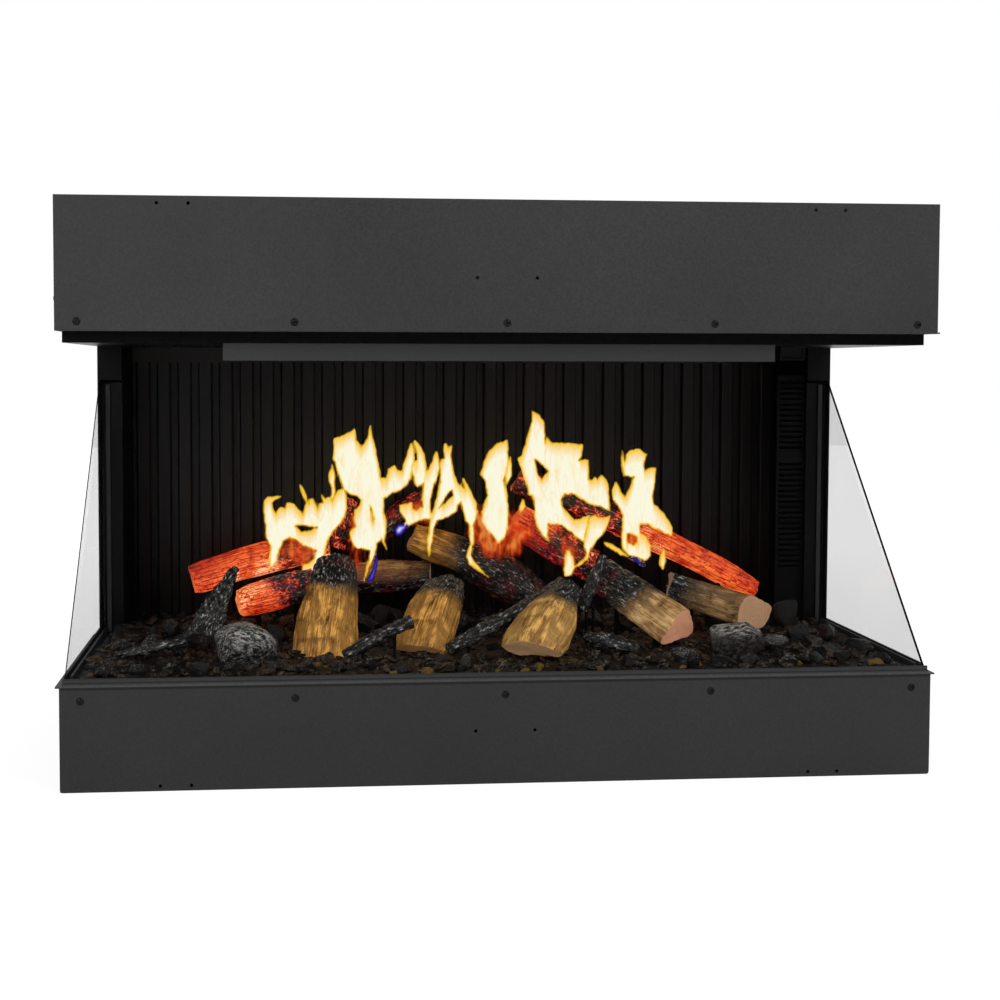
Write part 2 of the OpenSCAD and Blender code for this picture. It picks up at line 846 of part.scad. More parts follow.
module ember_bed() {
    y1 = wall_at - 1.2;
    color([0.25, 0.12, 0.06])
        union() {
            block(-groove_x + 3.4, groove_x - 3.4, 12.4, post_at + eps, base_h, bed_z);
            block(-cheek_x + 0.3, cheek_x - 0.3, post_at, y1, base_h, bed_z);
        }
}

// Lump of coal that stands on the bed
module lump(x, y, r, h, turn) {
    translate([x, at(y), bed_z])
        rotate([0, 0, turn])
            cylinder(r1 = r, r2 = r * 0.62, h = h, $fn = 7);
}

module coals() {
    // Along the front, left out where the front stub stands
    front = [for (i = [0:24]) if (i < 12 || i > 14)
        [-396 + i * 33, 34 + 9 * ((i * 7) % 3), 9 + (i * 5) % 4, 9 + (i * 3) % 5]];
    left = [for (i = [0:8])
        [-398 + (i % 3) * 37, 172 + 36 * floor(i / 3), 13 + (i * 3) % 4, 12 + (i * 5) % 7]];
    right = [for (i = [0:5])
        [358 + (i % 2) * 34, 90 + 44 * floor(i / 2), 14 + (i * 3) % 3, 13 + (i * 5) % 7]];
    inner = [[-254, 108, 25, 26], [-228, 88, 10, 11], [196, 66, 18, 14], [268, 96, 26, 30],
        [312, 124, 15, 16], [-110, 180, 12, 12], [12, 138, 12, 10], [330, 252, 17, 20], [374, 262, 18, 32]];
    // Heaped up behind and under the raised logs
    heap = [[-346, 258, 18, 20], [-306, 262, 17, 22], [-256, 205, 15, 20], [-228, 200, 12, 22],
        [-132, 250, 18, 28], [-94, 226, 18, 24], [-90, 262, 14, 26], [-104, 306, 16, 24],
        [-62, 300, 15, 22], [-20, 258, 18, 26], [20, 252, 17, 24], [58, 262, 17, 22], [92, 232, 15, 20],
        [98, 270, 12, 26], [140, 258, 18, 24], [176, 240, 15, 20], [206, 262, 16, 24], [246, 268, 17, 22],
        [286, 268, 16, 24]];
    color([0.12, 0.11, 0.1])
        for (c = concat(front, left, right, inner, heap))
            lump(c[0] * spread_x, c[1] * spread_y, c[2], c[3], c[0] * 7);
}

// Logs and sticks: start, end, width, height, sides, first and second pin, size left at the end
function logs() = [
    [[-326, 316, 159], [-166, 330, 194], 42, 38, 6, 0.2, 0.8, 0.95],
    [[-269, 246, 143], [-184, 258, 161], 42, 38, 7, 0.25, 0.75, 1],
    [[-178, 120, 90], [-161, 213, 195], 74, 50, 9, 0.5, 0.85, 0.66],
    [[-74, 124, 108], [-38, 205, 170], 62, 44, 9, 0.45, 0.85, 0.74],
    [[38, 76, 124], [88, 148, 172], 70, 42, 9, 0.3, 0.85, 0.5],
    [[206, 120, 131], [138, 204, 178], 60, 48, 5, 0.3, 0.8, 0.9],
    [[320, 200, 131], [220, 222, 162], 44, 40, 6, 0.2, 0.75, 1],
    [[62, 346, 276], [355, 332, 140], 42, 40, 6, 0.45, 0.85, 0.62],
    [[146, 320, 178], [60, 323, 234], 42, 40, 7, 0.2, 0.7, 1],
    [[58, 314, 134], [-67, 322, 209], 44, 40, 8, 0.25, 0.8, 1],
    [[-142, 342, 156], [-46, 348, 158], 44, 44, 8, 0.2, 0.8, 1],
    [[-154, 383, 191], [-138, 383, 249], 34, 28, 7, 0.3, 0.7, 1],
    [[-104, 381, 205], [-48, 381, 250], 32, 28, 7, 0.25, 0.75, 1]];

function stick_list() = [
    [[-307, 140, 125], [-273, 190, 191], 44, 24, 6, 0.25, 0.55, 0.3],
    [[-384, 98, 116], [-320, 110, 126], 16, 14, 6, 0.2, 0.8, 1],
    [[-154, 82, 115], [-86, 104, 145], 16, 14, 6, 0.25, 0.75, 1],
    [[-46, 82, 120], [90, 184, 172], 18, 17, 6, 0.15, 0.8, 1],
    [[108, 158, 148], [124, 164, 196], 15, 14, 6, 0.25, 0.75, 1],
    [[104, 118, 124], [152, 88, 116], 24, 16, 6, 0.25, 0.75, 1]];

// Uneven outline of a log, with the first value pointing down
function log_ring(w, h, n, k) = [for (i = [0:n - 1])
    let (a = i * 360 / n + k * 23, r = 1 - 0.07 * ((i * (3 + k % 4)) % 3))
        [h / 2 * r * cos(a), w / 2 * r * sin(a)]];

function log_len(g) = norm(g[1] - g[0]);
function log_rise(g) = asin((g[1][2] - g[0][2]) / log_len(g));
function log_turn(g) = atan2(g[1][1] - g[0][1], g[1][0] - g[0][0]);
function log_point(g, t) = g[0] + t * (g[1] - g[0]);

// Height in the pile moved with the bed and the chamber
function lift(z) = bed_z + (z - pile_z) * spread_z;

// Entry of the list moved and sized with the chamber
function laid(g) = [
    [g[0][0] * spread_x, g[0][1] * spread_y, lift(g[0][2])],
    [g[1][0] * spread_x, g[1][1] * spread_y, lift(g[1][2])],
    g[2] * spread, g[3] * spread, g[4], g[5], g[6], g[7]];

// Round pins, or the wider holes for them when gap is set
module pins_of(g, d, gap) {
    for (t = [g[5], g[6]]) {
        p = log_point(g, t);
        translate([p[0], at(p[1]), bed_z - gap])
            cylinder(d = d + 2 * gap, h = p[2] - bed_z + gap, $fn = 24);
    }
}

// One log or stick with the holes for its pins
module log_solid(g, k, d) {
    difference() {
        translate([g[0][0], at(g[0][1]), g[0][2]])
            rotate([0, 90 - log_rise(g), log_turn(g)])
                linear_extrude(log_len(g), scale = g[7])
                    polygon(log_ring(g[2], g[3], g[4], k));
        // Flat foot just above the bed
        block(-groove_x, groove_x, 0, back_at, 0, bed_z + 0.4);
        pins_of(g, d, pin_gap);
    }
}

module log_part(k, shade) {
    color(shade)
        log_solid(laid(logs()[k]), k, pin_d);
}

module sticks() {
    color([0.08, 0.08, 0.08])
        for (k = [0:len(stick_list()) - 1])
            log_solid(laid(stick_list()[k]), k, pin_d - 2);
}

module log_pins() {
    color([0.5, 0.5, 0.5]) {
        for (g = logs())
            pins_of(laid(g), pin_d, 0);
        for (g = stick_list())
            pins_of(laid(g), pin_d - 2, 0);
    }
}

// Outline of one flame tongue: width, height and lean of the tip
function flame_side(w, h, lean, s) = [for (i = [0:8])
    let (t = i / 8)
        [s * w / 2 * (0.35 + 0.9 * t - 1.25 * t * t) * (1 + 0.25 * sin(300 * t)) + lean * t * t, h * t]];

function flame_ring(w, h, lean) = concat(flame_side(w, h, lean, 1),
    [for (i = [7:-1:0]) flame_side(w, h, lean, -1)[i]]);

// Flames: middle, foot height, width, height and lean
function flame_list() = [
    [-226, 182, 34, 78, -6], [-190, 176, 32, 86, 8], [-152, 186, 46, 150, 14], [-112, 200, 34, 112, 4],
    [-66, 214, 32, 108, -8], [-30, 196, 34, 120, 10], [4, 200, 26, 92, -6], [44, 206, 40, 128, 8],
    [92, 210, 50, 148, -12], [134, 192, 40, 124, 6], [184, 186, 44, 122, -8],
    [222, 178, 26, 58, 10]];

module flames() {
    color([1, 0.6, 0.15, 0.6])
        for (f = flame_list())
            translate([f[0] * spread_x, at(flame_y), 0])
                rotate([90, 0, 0])
                    linear_extrude(1.6)
                        union() {
                            translate([0, lift(f[1])])
                                polygon(flame_ring(f[2] * spread, f[3] * spread_z, f[4]));
                            translate([-1.2, bed_z])
                                square([2.4, lift(f[1]) - bed_z + 10]);
                        }
}

base_front();
base_floor();
base_side(-1);  // base_side_left
base_side(1);  // base_side_right
base_deck();
back_panel();
casing(-1);  // casing_left
casing(1);  // casing_right
glass_sill();
post(-1);  // post_left
post(1);  // post_right
cheek(-1);  // cheek_left
cheek(1);  // cheek_right
rear_wall();
front_glass();
side_glass(-1);  // side_glass_left
side_glass(1);  // side_glass_right
glass_brackets();
canopy_frame();
outlet_bar();
receiver_window();
header_front();
header_side(-1);  // header_side_left
header_side(1);  // header_side_right
header_top();
header_floor();
panel_screws();
display_housing();
display_screen();
heater_housing();
fan_wheel();
fan_motor();
heating_element();
control_board();
power_supply();
speakers();
mains_inlet();
switch_body();
rocker();
cutout_body();
reset_button();
ember_lights();
ember_bed();
coals();
log_pins();
log_part(0, [0.8, 0.3, 0.1]);  // log_left_glow
log_part(1, [0.6, 0.1, 0.05]);  // log_red_ember
log_part(2, [0.6, 0.4, 0.2]);  // log_stub_left
log_part(3, [0.6, 0.4, 0.2]);  // log_stub_mid
log_part(4, [0.6, 0.4, 0.2]);  // log_stub_front
log_part(5, [0.5, 0.35, 0.2]);  // log_split_cut
log_part(6, [0.5, 0.35, 0.2]);  // log_right_brown
log_part(7, [0.8, 0.3, 0.1]);  // log_right_glow
log_part(8, [0.6, 0.1, 0.05]);  // log_back_red
log_part(9, [0.45, 0.3, 0.15]);  // log_back_brown
log_part(10, [0.15, 0.13, 0.12]);  // log_back_char
union() {  // log_back_embers
        log_part(11, [0.6, 0.15, 0.05]);
        log_part(12, [0.12, 0.1, 0.1]);
    }
sticks();
flames();
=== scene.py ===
import math
import random
from itertools import product

import bmesh
import bpy
from mathutils import Matrix, Vector, noise


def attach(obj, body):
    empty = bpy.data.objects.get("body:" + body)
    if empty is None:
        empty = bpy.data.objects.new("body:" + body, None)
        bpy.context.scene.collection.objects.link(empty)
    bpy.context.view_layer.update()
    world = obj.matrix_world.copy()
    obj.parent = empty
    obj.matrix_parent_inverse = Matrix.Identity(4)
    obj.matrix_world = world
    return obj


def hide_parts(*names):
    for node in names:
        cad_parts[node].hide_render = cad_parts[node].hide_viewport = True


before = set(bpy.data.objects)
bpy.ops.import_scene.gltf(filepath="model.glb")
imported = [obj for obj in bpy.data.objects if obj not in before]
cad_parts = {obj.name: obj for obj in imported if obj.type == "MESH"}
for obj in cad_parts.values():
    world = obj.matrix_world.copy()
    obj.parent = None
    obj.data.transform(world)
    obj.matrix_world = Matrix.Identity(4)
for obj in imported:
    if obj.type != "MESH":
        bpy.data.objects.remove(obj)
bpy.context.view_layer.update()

mm = 0.001
halfDepth = 214  # mm from the front sheets to the middle of the footprint
cabinet = "cabinet"


def place(x, v, z):
    # x from the middle, v behind the front sheets and z above the floor, all in mm
    return Vector((x * mm, (v - halfDepth) * mm, z * mm))


def linear(code, gain=1.0):
    # an sRGB code like "#343435" as linear light, or a plain number as a grey
    if not isinstance(code, str):
        return (code, code, code, 1.0)
    channels = [int(code[i:i + 2], 16) / 255 for i in (1, 3, 5)]
    curved = [c / 12.92 if c <= 0.04045 else ((c + 0.055) / 1.055) ** 2.4 for c in channels]
    return tuple(c * gain for c in curved) + (1.0,)


def nodeAdder(tree):
    def add(kind, inputs=(), stops=(), **settings):
        # one node: its inputs by name, or in a list in the node's own order, and the stops of a ramp;
        # an input that takes several links gets them as a list
        node = tree.nodes.new(kind if "Node" in kind else "ShaderNode" + kind)
        for key, value in settings.items():
            setattr(node, key, value)
        for key, value in inputs.items() if isinstance(inputs, dict) else enumerate(inputs):
            for part in value if isinstance(value, list) else [value]:
                if isinstance(part, bpy.types.Node):
                    part = part.outputs[0]
                if isinstance(part, bpy.types.NodeSocket):
                    tree.links.new(part, node.inputs[key])
                elif isinstance(part, str) and part.startswith("#"):
                    node.inputs[key].default_value = linear(part)
                else:
                    node.inputs[key].default_value = part
        while stops and len(node.color_ramp.elements) < len(stops):
            node.color_ramp.elements.new(0.5)
        for number, (position, *shade) in enumerate(stops):
            element = node.color_ramp.elements[number]
            element.position, element.color = position, linear(*shade)
        return node
    return add


def addObject(name, data):
    obj = bpy.data.objects.new(name, data)
    bpy.context.scene.collection.objects.link(obj)
    return obj


def startMaterial(name):
    material = bpy.data.materials.new(name)
    material.use_nodes = True
    material.node_tree.nodes.clear()
    return material, nodeAdder(material.node_tree)


def finishMaterial(material, shader):
    nodeAdder(material.node_tree)("OutputMaterial", {"Surface": shader})
    return material


def dress(obj, slotName, *nodes):
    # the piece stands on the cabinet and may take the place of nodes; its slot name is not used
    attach(obj, cabinet)
    if nodes:
        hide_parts(*nodes)
    return obj


# Coats on sheet metal

def coatedSheet(name, colour, roughness, grain, relief=0.3, patch=0.12, sheen=0.5):
    # polyester powder coat: a fine orange peel that scatters light, and a tone that drifts a little
    material, add = startMaterial(name)
    where = add("TexCoord").outputs["Object"]
    peel = add("TexNoise", {"Vector": where, "Scale": 1 / (grain * mm), "Detail": 3.0})
    drift = add("TexNoise", {"Vector": where, "Scale": 1 / 0.17, "Detail": 4.0})
    tone = add("ValToRGB", {"Fac": drift}, stops=[(0.3, colour, 1 - patch), (0.7, colour, 1 + patch)])
    speck = add("ValToRGB", {"Fac": peel}, stops=[(0.35, 0.86), (0.68, 1.16)])
    mixed = add("MixRGB", [1.0, tone, speck], blend_type="MULTIPLY")
    gloss = add("MapRange", [peel, 0.3, 0.7, roughness - 0.05, roughness + 0.05])
    bump = add("Bump", {"Height": peel, "Strength": relief, "Distance": 0.3 * mm})
    shader = add("BsdfPrincipled", {
        "Base Color": mixed, "Roughness": gloss, "Normal": bump, "IOR": 1.5, "Specular IOR Level": sheen})
    return finishMaterial(material, shader)


def bareMetal(name, colour, roughness, cell, brush=(1, 1, 1)):
    # bare or plated metal: spangle or brush marks shift both its tone and its gloss
    material, add = startMaterial(name)
    where = add("TexCoord").outputs["Object"]
    turned = add("Mapping", {"Vector": where, "Scale": brush})
    spangle = add("TexVoronoi", {"Vector": turned, "Scale": 1 / (cell * mm)})
    marks = add("TexNoise", {"Vector": turned, "Scale": 2.5 / (cell * mm), "Detail": 4.0})
    shade = add("MixRGB", [0.5, spangle.outputs["Color"], marks])
    grey = add("RGBToBW", {"Color": shade})
    tone = add("ValToRGB", {"Fac": grey}, stops=[(0.25, colour, 0.8), (0.75, colour, 1.1)])
    gloss = add("MapRange", [grey, 0.2, 0.8, roughness - 0.08, roughness + 0.1])
    bump = add("Bump", {"Height": marks, "Strength": 0.15, "Distance": 0.1 * mm})
    shader = add("BsdfPrincipled", {
        "Base Color": tone, "Metallic": 1.0, "Roughness": gloss, "Normal": bump})
    return finishMaterial(material, shader)


def mouldedPlastic(name, colour, roughness, grain=0.9):
    # injection-moulded plastic: a spark-eroded tool leaves a fine even texture
    material, add = startMaterial(name)
    where = add("TexCoord").outputs["Object"]
    erosion = add("TexNoise", {"Vector": where, "Scale": 1 / (grain * mm), "Detail": 2.0})
    tone = add("ValToRGB", {"Fac": erosion}, stops=[(0.3, colour, 0.9), (0.7, colour, 1.1)])
    gloss = add("MapRange", [erosion, 0.3, 0.7, roughness - 0.04, roughness + 0.06])
    bump = add("Bump", {"Height": erosion, "Strength": 0.2, "Distance": 0.1 * mm})
    shader = add("BsdfPrincipled", {"Base Color": tone, "Roughness": gloss, "Normal": bump, "IOR": 1.53})
    return finishMaterial(material, shader)


# Toughened panes

def clearPane(name, veil, edge=None, halfWidth=0):
    # float glass lets all but a little light through: veil is the share that one face takes away,
    # and along the ground edges of the leaning pane an opaque dark band is painted shade, in place of the
    # dark line that light bent through the edge makes
    material, add = startMaterial(name)
    where = add("TexCoord").outputs["Object"]
    smear = add("TexNoise", {"Vector": where, "Scale": 1 / 0.12, "Detail": 3.0})
    share = add("MapRange", [smear, 0.3, 0.7, veil * 0.96, veil * 1.04])
    shade = (0.012, 0.013, 0.013, 1)
    # painted shade: past the half width the pane turns opaque, in the edge colour
    if edge:
        split = add("SeparateXYZ", {"Vector": where})
        outward = add("Math", [split.outputs["X"]], operation="ABSOLUTE")
        rim = add("Math", [outward, halfWidth * mm], operation="GREATER_THAN")
        share = add("Math", [share, rim], operation="MAXIMUM")
        shade = add("MixRGB", [rim, shade, edge])
    shader = add("BsdfPrincipled", {"Base Color": shade, "Roughness": 0.03, "IOR": 1.5, "Alpha": share})
    return finishMaterial(material, shader)


# where the bead stands on a post: from the middle, and how far behind the front sheets it ends
bead = {"inner": 417.4, "outer": 422.2, "behind": 291.5}


def beadedPost(name):
    # satin black coat with one bare rolled bead, drawn where the bead stands on the post
    material, add = startMaterial(name)
    where = add("TexCoord").outputs["Object"]
    split = add("SeparateXYZ", {"Vector": where})
    outward = add("Math", [split.outputs["X"]], operation="ABSOLUTE")
    past = add("Math", [outward, bead["inner"] * mm], operation="GREATER_THAN")
    short = add("Math", [outward, bead["outer"] * mm], operation="LESS_THAN")
    facing = add("Math", [split.outputs["Y"], (bead["behind"] - halfDepth) * mm], operation="LESS_THAN")
    strip = add("Math", [past, short], operation="MULTIPLY")
    onBead = add("Math", [strip, facing], operation="MULTIPLY")
    grain = add("TexNoise", {"Vector": where, "Scale": 1 / 0.002, "Detail": 3.0})
    black = add("ValToRGB", {"Fac": grain}, stops=[(0.35, "#030303"), (0.65, "#080808")])
    tone = add("MixRGB", [onBead, black, "#343435"])
    bump = add("Bump", {"Height": grain, "Strength": 0.2, "Distance": 0.2 * mm})
    shader = add("BsdfPrincipled", {
        "Base Color": tone, "Roughness": 0.45, "IOR": 1.5, "Specular IOR Level": 0.14, "Normal": bump})
    return finishMaterial(material, shader)


def sillWithPaintedLight(name, colour):
    # the same powder coat lower down, with light and shade painted in by height: a painted highlight along
    # the sill's edge above painted shadow in the joint under it
    material = coatedSheet(name, colour, 0.5, 2.2, sheen=0.35)
    tree = material.node_tree
    add = nodeAdder(tree)
    shader = next(n for n in tree.nodes if n.type == "BSDF_PRINCIPLED")
    coat = shader.inputs["Base Color"].links[0].from_socket
    split = add("SeparateXYZ", {"Vector": add("TexCoord").outputs["Object"]})
    height = add("MapRange", [split.outputs["Z"], 92 * mm, 112 * mm])
    # from 92 to 112 mm above the floor: sheet, painted shadow at the joint at 101, painted highlight on the
    # edge, then painted shade and highlights on the step and upstand
    level = add("ValToRGB", {"Fac": height}, stops=[
        (0.36, 1), (0.43, 0.16), (0.5, 0.2), (0.56, 2.6), (0.66, 1.6), (0.72, 0.5), (0.82, 1.3),
        (0.95, 0.7)])
    tone = add("MixRGB", [1.0, coat, level], blend_type="MULTIPLY")
    tree.links.new(tone.outputs[0], shader.inputs["Base Color"])
    return material


charcoalCoat = coatedSheet("charcoalPowderCoat", "#343435", 0.5, 2.2, sheen=0.35)
# the base's coat is the charcoal coat made darker: painted shade, as the base is lit less than the header
baseCoatPaintedLightAndShade = sillWithPaintedLight("charcoalPowderCoatBase", "#2d2d2e")
innerCoat = coatedSheet("mattBlackPowderCoat", "#070707", 0.6, 2.0, sheen=0.12)
casingCoat = coatedSheet("satinBlackCasing", "#141415", 0.5, 2.0, sheen=0.35)
postCoat = beadedPost("satinBlackPost")
wallCoat = coatedSheet("satinBlackFlutes", "#16110f", 0.42, 2.0, patch=0.25, sheen=0.26)
barCoat = coatedSheet("greyPowderCoat", "#313132", 0.5, 1.8)
canopyCoat = coatedSheet("glossBlackEnamel", "#030303", 0.3, 9.0, relief=0.06, patch=0.05, sheen=0.13)
steelZinc = bareMetal("zincPlatedSheet", "#b4b8ba", 0.4, 11)
steelCan = bareMetal("drawnSteelCan", "#8e9093", 0.35, 3, (1, 6, 6))
burntPin = coatedSheet("sootedSteelPin", "#080707", 0.8, 1.5, sheen=0.15)
alloyFins = bareMetal("rolledAluminium", "#c3c4c5", 0.34, 2.5, (0.2, 6, 6))
blackSteel = bareMetal("blackenedSteel", "#2a2a2b", 0.38, 2.5)
blackNylon = mouldedPlastic("blackNylon", "#17181a", 0.5)
redNylon = mouldedPlastic("redNylon", "#a31a16", 0.35)
shellPlastic = mouldedPlastic("mattBlackAbs", "#1a1a1b", 0.6)
creamCeramic = mouldedPlastic("glazedCeramic", "#dcd8cc", 0.2, 3.0)
# its dark green edge colour is painted shade for the pane's ground edges
frontPane = clearPane("toughenedFloatGlass", 0.02, "#1c2422", 429.0)
sidePane = clearPane("greyTintedGlass", 0.2)

print("coats and panes done")


def solderMask(name, colour):
    # green solder mask over copper tracks: tracks show as a slightly paler grid under a clear lacquer
    material, add = startMaterial(name)
    where = add("TexCoord").outputs["Object"]
    tracks = add("TexBrick", {
        "Vector": where, "Color1": colour, "Color2": linear(colour, 0.8), "Mortar": linear(colour, 1.9),
        "Scale": 60.0, "Mortar Size": 0.035})
    shader = add("BsdfPrincipled", {"Base Color": tracks, "Roughness": 0.3, "IOR": 1.55})
    return finishMaterial(material, shader)


# middle and radius of the two glows, on the face of the display that looks down
display = {"spots": ((-225, 285, 60), (80, 290, 50)), "face": 447.5}


def displayFace(name):
    # the panel that the pane mirrors: near black, with two faint red glows where its picture bleeds
    material, add = startMaterial(name)
    where = add("TexCoord").outputs["Object"]
    glow = None
    for x, v, reach in display["spots"]:
        middle = place(x, v, display["face"])
        centred = add("Mapping", {
            "Vector": where, "Location": tuple(-c / (reach * mm) for c in middle),
            "Scale": (1 / (reach * mm),) * 3})
        ball = add("TexGradient", {"Vector": centred}, gradient_type="QUADRATIC_SPHERE")
        spot = ball.outputs["Fac"]
        glow = add("Math", [glow, spot]) if glow else spot
    noiseField = add("TexNoise", {"Vector": where, "Scale": 1 / 0.03, "Detail": 3.0})
    mottled = add("Math", [glow, noiseField], operation="MULTIPLY")
    tone = add("ValToRGB", {"Fac": mottled}, stops=[(0.0, 0), (1.0, "#ff2a14")])
    shader = add("BsdfPrincipled", {
        "Base Color": "#060606", "Roughness": 0.12, "IOR": 1.5, "Emission Color": tone,
        "Emission Strength": 0.5})
    return finishMaterial(material, shader)


boardMask = solderMask("greenSolderMask", "#1d5a33")
displayGlow = displayFace("darkDisplayFace")

nodeFinish = {
    charcoalCoat: ["header_front", "header_side_left", "header_side_right", "header_top"],
    baseCoatPaintedLightAndShade: ["base_front", "base_side_left", "base_side_right", "glass_sill"],
    innerCoat: ["base_floor", "base_deck", "header_floor", "cheek_left", "cheek_right", "glass_brackets",
                "receiver_window"],
    casingCoat: ["back_panel", "casing_left", "casing_right"],
    postCoat: ["post_left", "post_right"],
    barCoat: ["outlet_bar"],
    canopyCoat: ["canopy_frame"],
    steelZinc: ["heater_housing", "power_supply"],
    steelCan: ["fan_motor"],
    burntPin: ["log_pins"],
    alloyFins: ["fan_wheel", "heating_element"],
    blackNylon: ["mains_inlet", "switch_body"],
    redNylon: ["rocker", "reset_button"],
    shellPlastic: ["display_housing", "speakers"],
    creamCeramic: ["cutout_body", "ember_lights"],
    frontPane: ["front_glass"],
    sidePane: ["side_glass_left", "side_glass_right"],
    boardMask: ["control_board"],
    displayGlow: ["display_screen"],
}
for material, names in nodeFinish.items():
    for name in names:
        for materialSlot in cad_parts[name].material_slots:
            materialSlot.link = "OBJECT"
            materialSlot.material = material
print("CAD pieces have their finishes")


# Mesh and Geometry Nodes helpers

def addMesh(name, points, faces, material, smooth=True, sharp=None):
    mesh = bpy.data.meshes.new(name)
    mesh.from_pydata([tuple(p) for p in points], [], faces)
    mesh.materials.append(material)
    mesh.polygons.foreach_set("use_smooth", [smooth] * len(mesh.polygons))
    if sharp:
        mesh.set_sharp_from_angle(angle=math.radians(sharp))
    mesh.update()
    return addObject(name, mesh)


def addFields(obj, labels, values):
    # one number field per label, from the values of each point
    for index, label in enumerate(labels):
        field = obj.data.attributes.new(label, "FLOAT", "POINT")
        field.data.foreach_set("value", [v[index] for v in values])


def startTree(name, values):
    # a geometry tree: the mesh that comes in, a named input for each value, and the mesh that goes out
    kinds = {float: "Float", int: "Int", Vector: "Vector", bpy.types.Material: "Material"}
    tree = bpy.data.node_groups.new(name, "GeometryNodeTree")
    tree.interface.new_socket("Geometry", in_out="INPUT", socket_type="NodeSocketGeometry")
    for label, value in values.items():
        kind = kinds[type(value)]
        socket = tree.interface.new_socket(label, in_out="INPUT", socket_type="NodeSocket" + kind)
        socket.default_value = value
    tree.interface.new_socket("Geometry", in_out="OUTPUT", socket_type="NodeSocketGeometry")
    add = nodeAdder(tree)
    return tree, add, add("NodeGroupInput").outputs


def runTree(obj, tree, values):
    # sets the inputs by identifier, and turns the result into a plain mesh without the modifier
    modifier = obj.modifiers.new(tree.name, "NODES")
    modifier.node_group = tree
    for item in tree.interface.items_tree:
        if item.item_type == "SOCKET" and item.in_out == "INPUT" and item.name in values:
            modifier[item.identifier] = values[item.name]
    graph = bpy.context.evaluated_depsgraph_get()
    graph.update()
    mesh = bpy.data.meshes.new_from_object(obj.evaluated_get(graph))
    obj.modifiers.remove(modifier)
    obj.data = mesh
    return obj


# Socket screws in the sheets, and pan heads round the back

screws = {
    "headWidth": 7.6, "headHeight": 1.9, "socketWidth": 3.0, "sunk": 0.05,
    "frontX": [-414, -207, 0, 207, 414], "frontZ": [455, 89],
    "sideX": 435, "sideV": 9, "sideZ": 477,
    "backX": [-420, -210, 210, 420], "backZ": [14, 290, 455, 560], "backV": 427.95,
    "backWidth": 6.4, "backHeight": 1.5, "backSocket": 2.5,
}


def screwTree(values):
    tree, add, given = startTree("buttonHeads", values)
    radius = add("Math", [given["Head Width"], 0.5], operation="MULTIPLY")
    # half a ball squashed to the height of the head, with a hexagon sunk in its crown
    dome = add("GeometryNodeMeshUVSphere", {"Segments": 28, "Rings": 14, "Radius": radius})
    ratio = add("Math", [given["Head Height"], radius], operation="DIVIDE")
    flat = add("CombineXYZ", {"X": 1.0, "Y": 1.0, "Z": ratio})
    squashed = add("GeometryNodeTransform", {"Geometry": dome, "Scale": flat})
    wide = add("Math", [radius, 4.0], operation="MULTIPLY")
    half = add("Math", [wide, -0.5], operation="MULTIPLY")
    size = add("CombineXYZ", {"X": wide, "Y": wide, "Z": wide})
    under = add("CombineXYZ", {"Z": half})
    below = add("GeometryNodeMeshCube", {"Size": size})
    below = add("GeometryNodeTransform", {"Geometry": below, "Translation": under})
    across = add("Math", [given["Socket Width"], 0.577], operation="MULTIPLY")
    hexagon = add("GeometryNodeMeshCylinder", {
        "Vertices": 6, "Radius": across, "Depth": given["Head Height"]})
    deep = add("Math", [given["Head Height"], 0.9], operation="MULTIPLY")
    lift = add("CombineXYZ", {"Z": deep})
    socket = add("GeometryNodeTransform", {"Geometry": hexagon, "Translation": lift})
    head = add("GeometryNodeMeshBoolean", {"Mesh 1": squashed, "Mesh 2": [below, socket]},
        operation="DIFFERENCE")
    facing = add("GeometryNodeInputNamedAttribute", {"Name": "facing"}, data_type="FLOAT_VECTOR")
    turn = add("FunctionNodeAlignRotationToVector", {"Vector": facing}, axis="Z")
    heads = add("GeometryNodeInstanceOnPoints", {
        "Points": given["Geometry"], "Instance": head, "Rotation": turn})
    plain = add("GeometryNodeRealizeInstances", {"Geometry": heads})
    painted = add("GeometryNodeSetMaterial", {"Geometry": plain, "Material": given["Material"]})
    add("NodeGroupOutput", {0: painted})
    return tree


def pointsFacing(name, spots):
    # a mesh of loose points, each with the way its screw faces
    mesh = bpy.data.meshes.new(name)
    mesh.from_pydata([tuple(spot) for spot, way in spots], [], [])
    attribute = mesh.attributes.new("facing", "FLOAT_VECTOR", "POINT")
    for index, (spot, way) in enumerate(spots):
        attribute.data[index].vector = way
    return addObject(name, mesh)


frontSpots = [(place(x, screws["sunk"], z), (0, -1, 0)) for z in screws["frontZ"] for x in screws["frontX"]]
for side in (-1, 1):
    spot = place(side * (screws["sideX"] - screws["sunk"]), screws["sideV"], screws["sideZ"])
    frontSpots.append((spot, (side, 0, 0)))
frontValues = {
    "Head Width": screws["headWidth"] * mm, "Head Height": screws["headHeight"] * mm,
    "Socket Width": screws["socketWidth"] * mm, "Material": blackSteel}
heads = screwTree(frontValues)
frontScrews = runTree(pointsFacing("front_screw_heads", frontSpots), heads, frontValues)
backSpots = [(place(x, screws["backV"], z), (0, 1, 0)) for z in screws["backZ"] for x in screws["backX"]]
backScrews = runTree(pointsFacing("back_screw_heads", backSpots), heads, {
    "Head Width": screws["backWidth"] * mm, "Head Height": screws["backHeight"] * mm,
    "Socket Width": screws["backSocket"] * mm, "Material": blackSteel})
dress(frontScrews, "black_screw", "panel_screws")
dress(backScrews, "black_screw")
print("screw heads:", len(frontSpots) + len(backSpots))


# Fluted rear wall

# ribs run into the sheet behind them by the overlap, and the plain band stands in front of them
wall = {"width": 808, "ribs": 32, "face": 14.2, "foot": 18.2, "depth": 8.0, "edge": 1.3, "overlap": 0.2,
        "v": 406, "low": 102, "flutesTop": 417, "top": 435, "sheet": 1.2, "bandProud": 1}


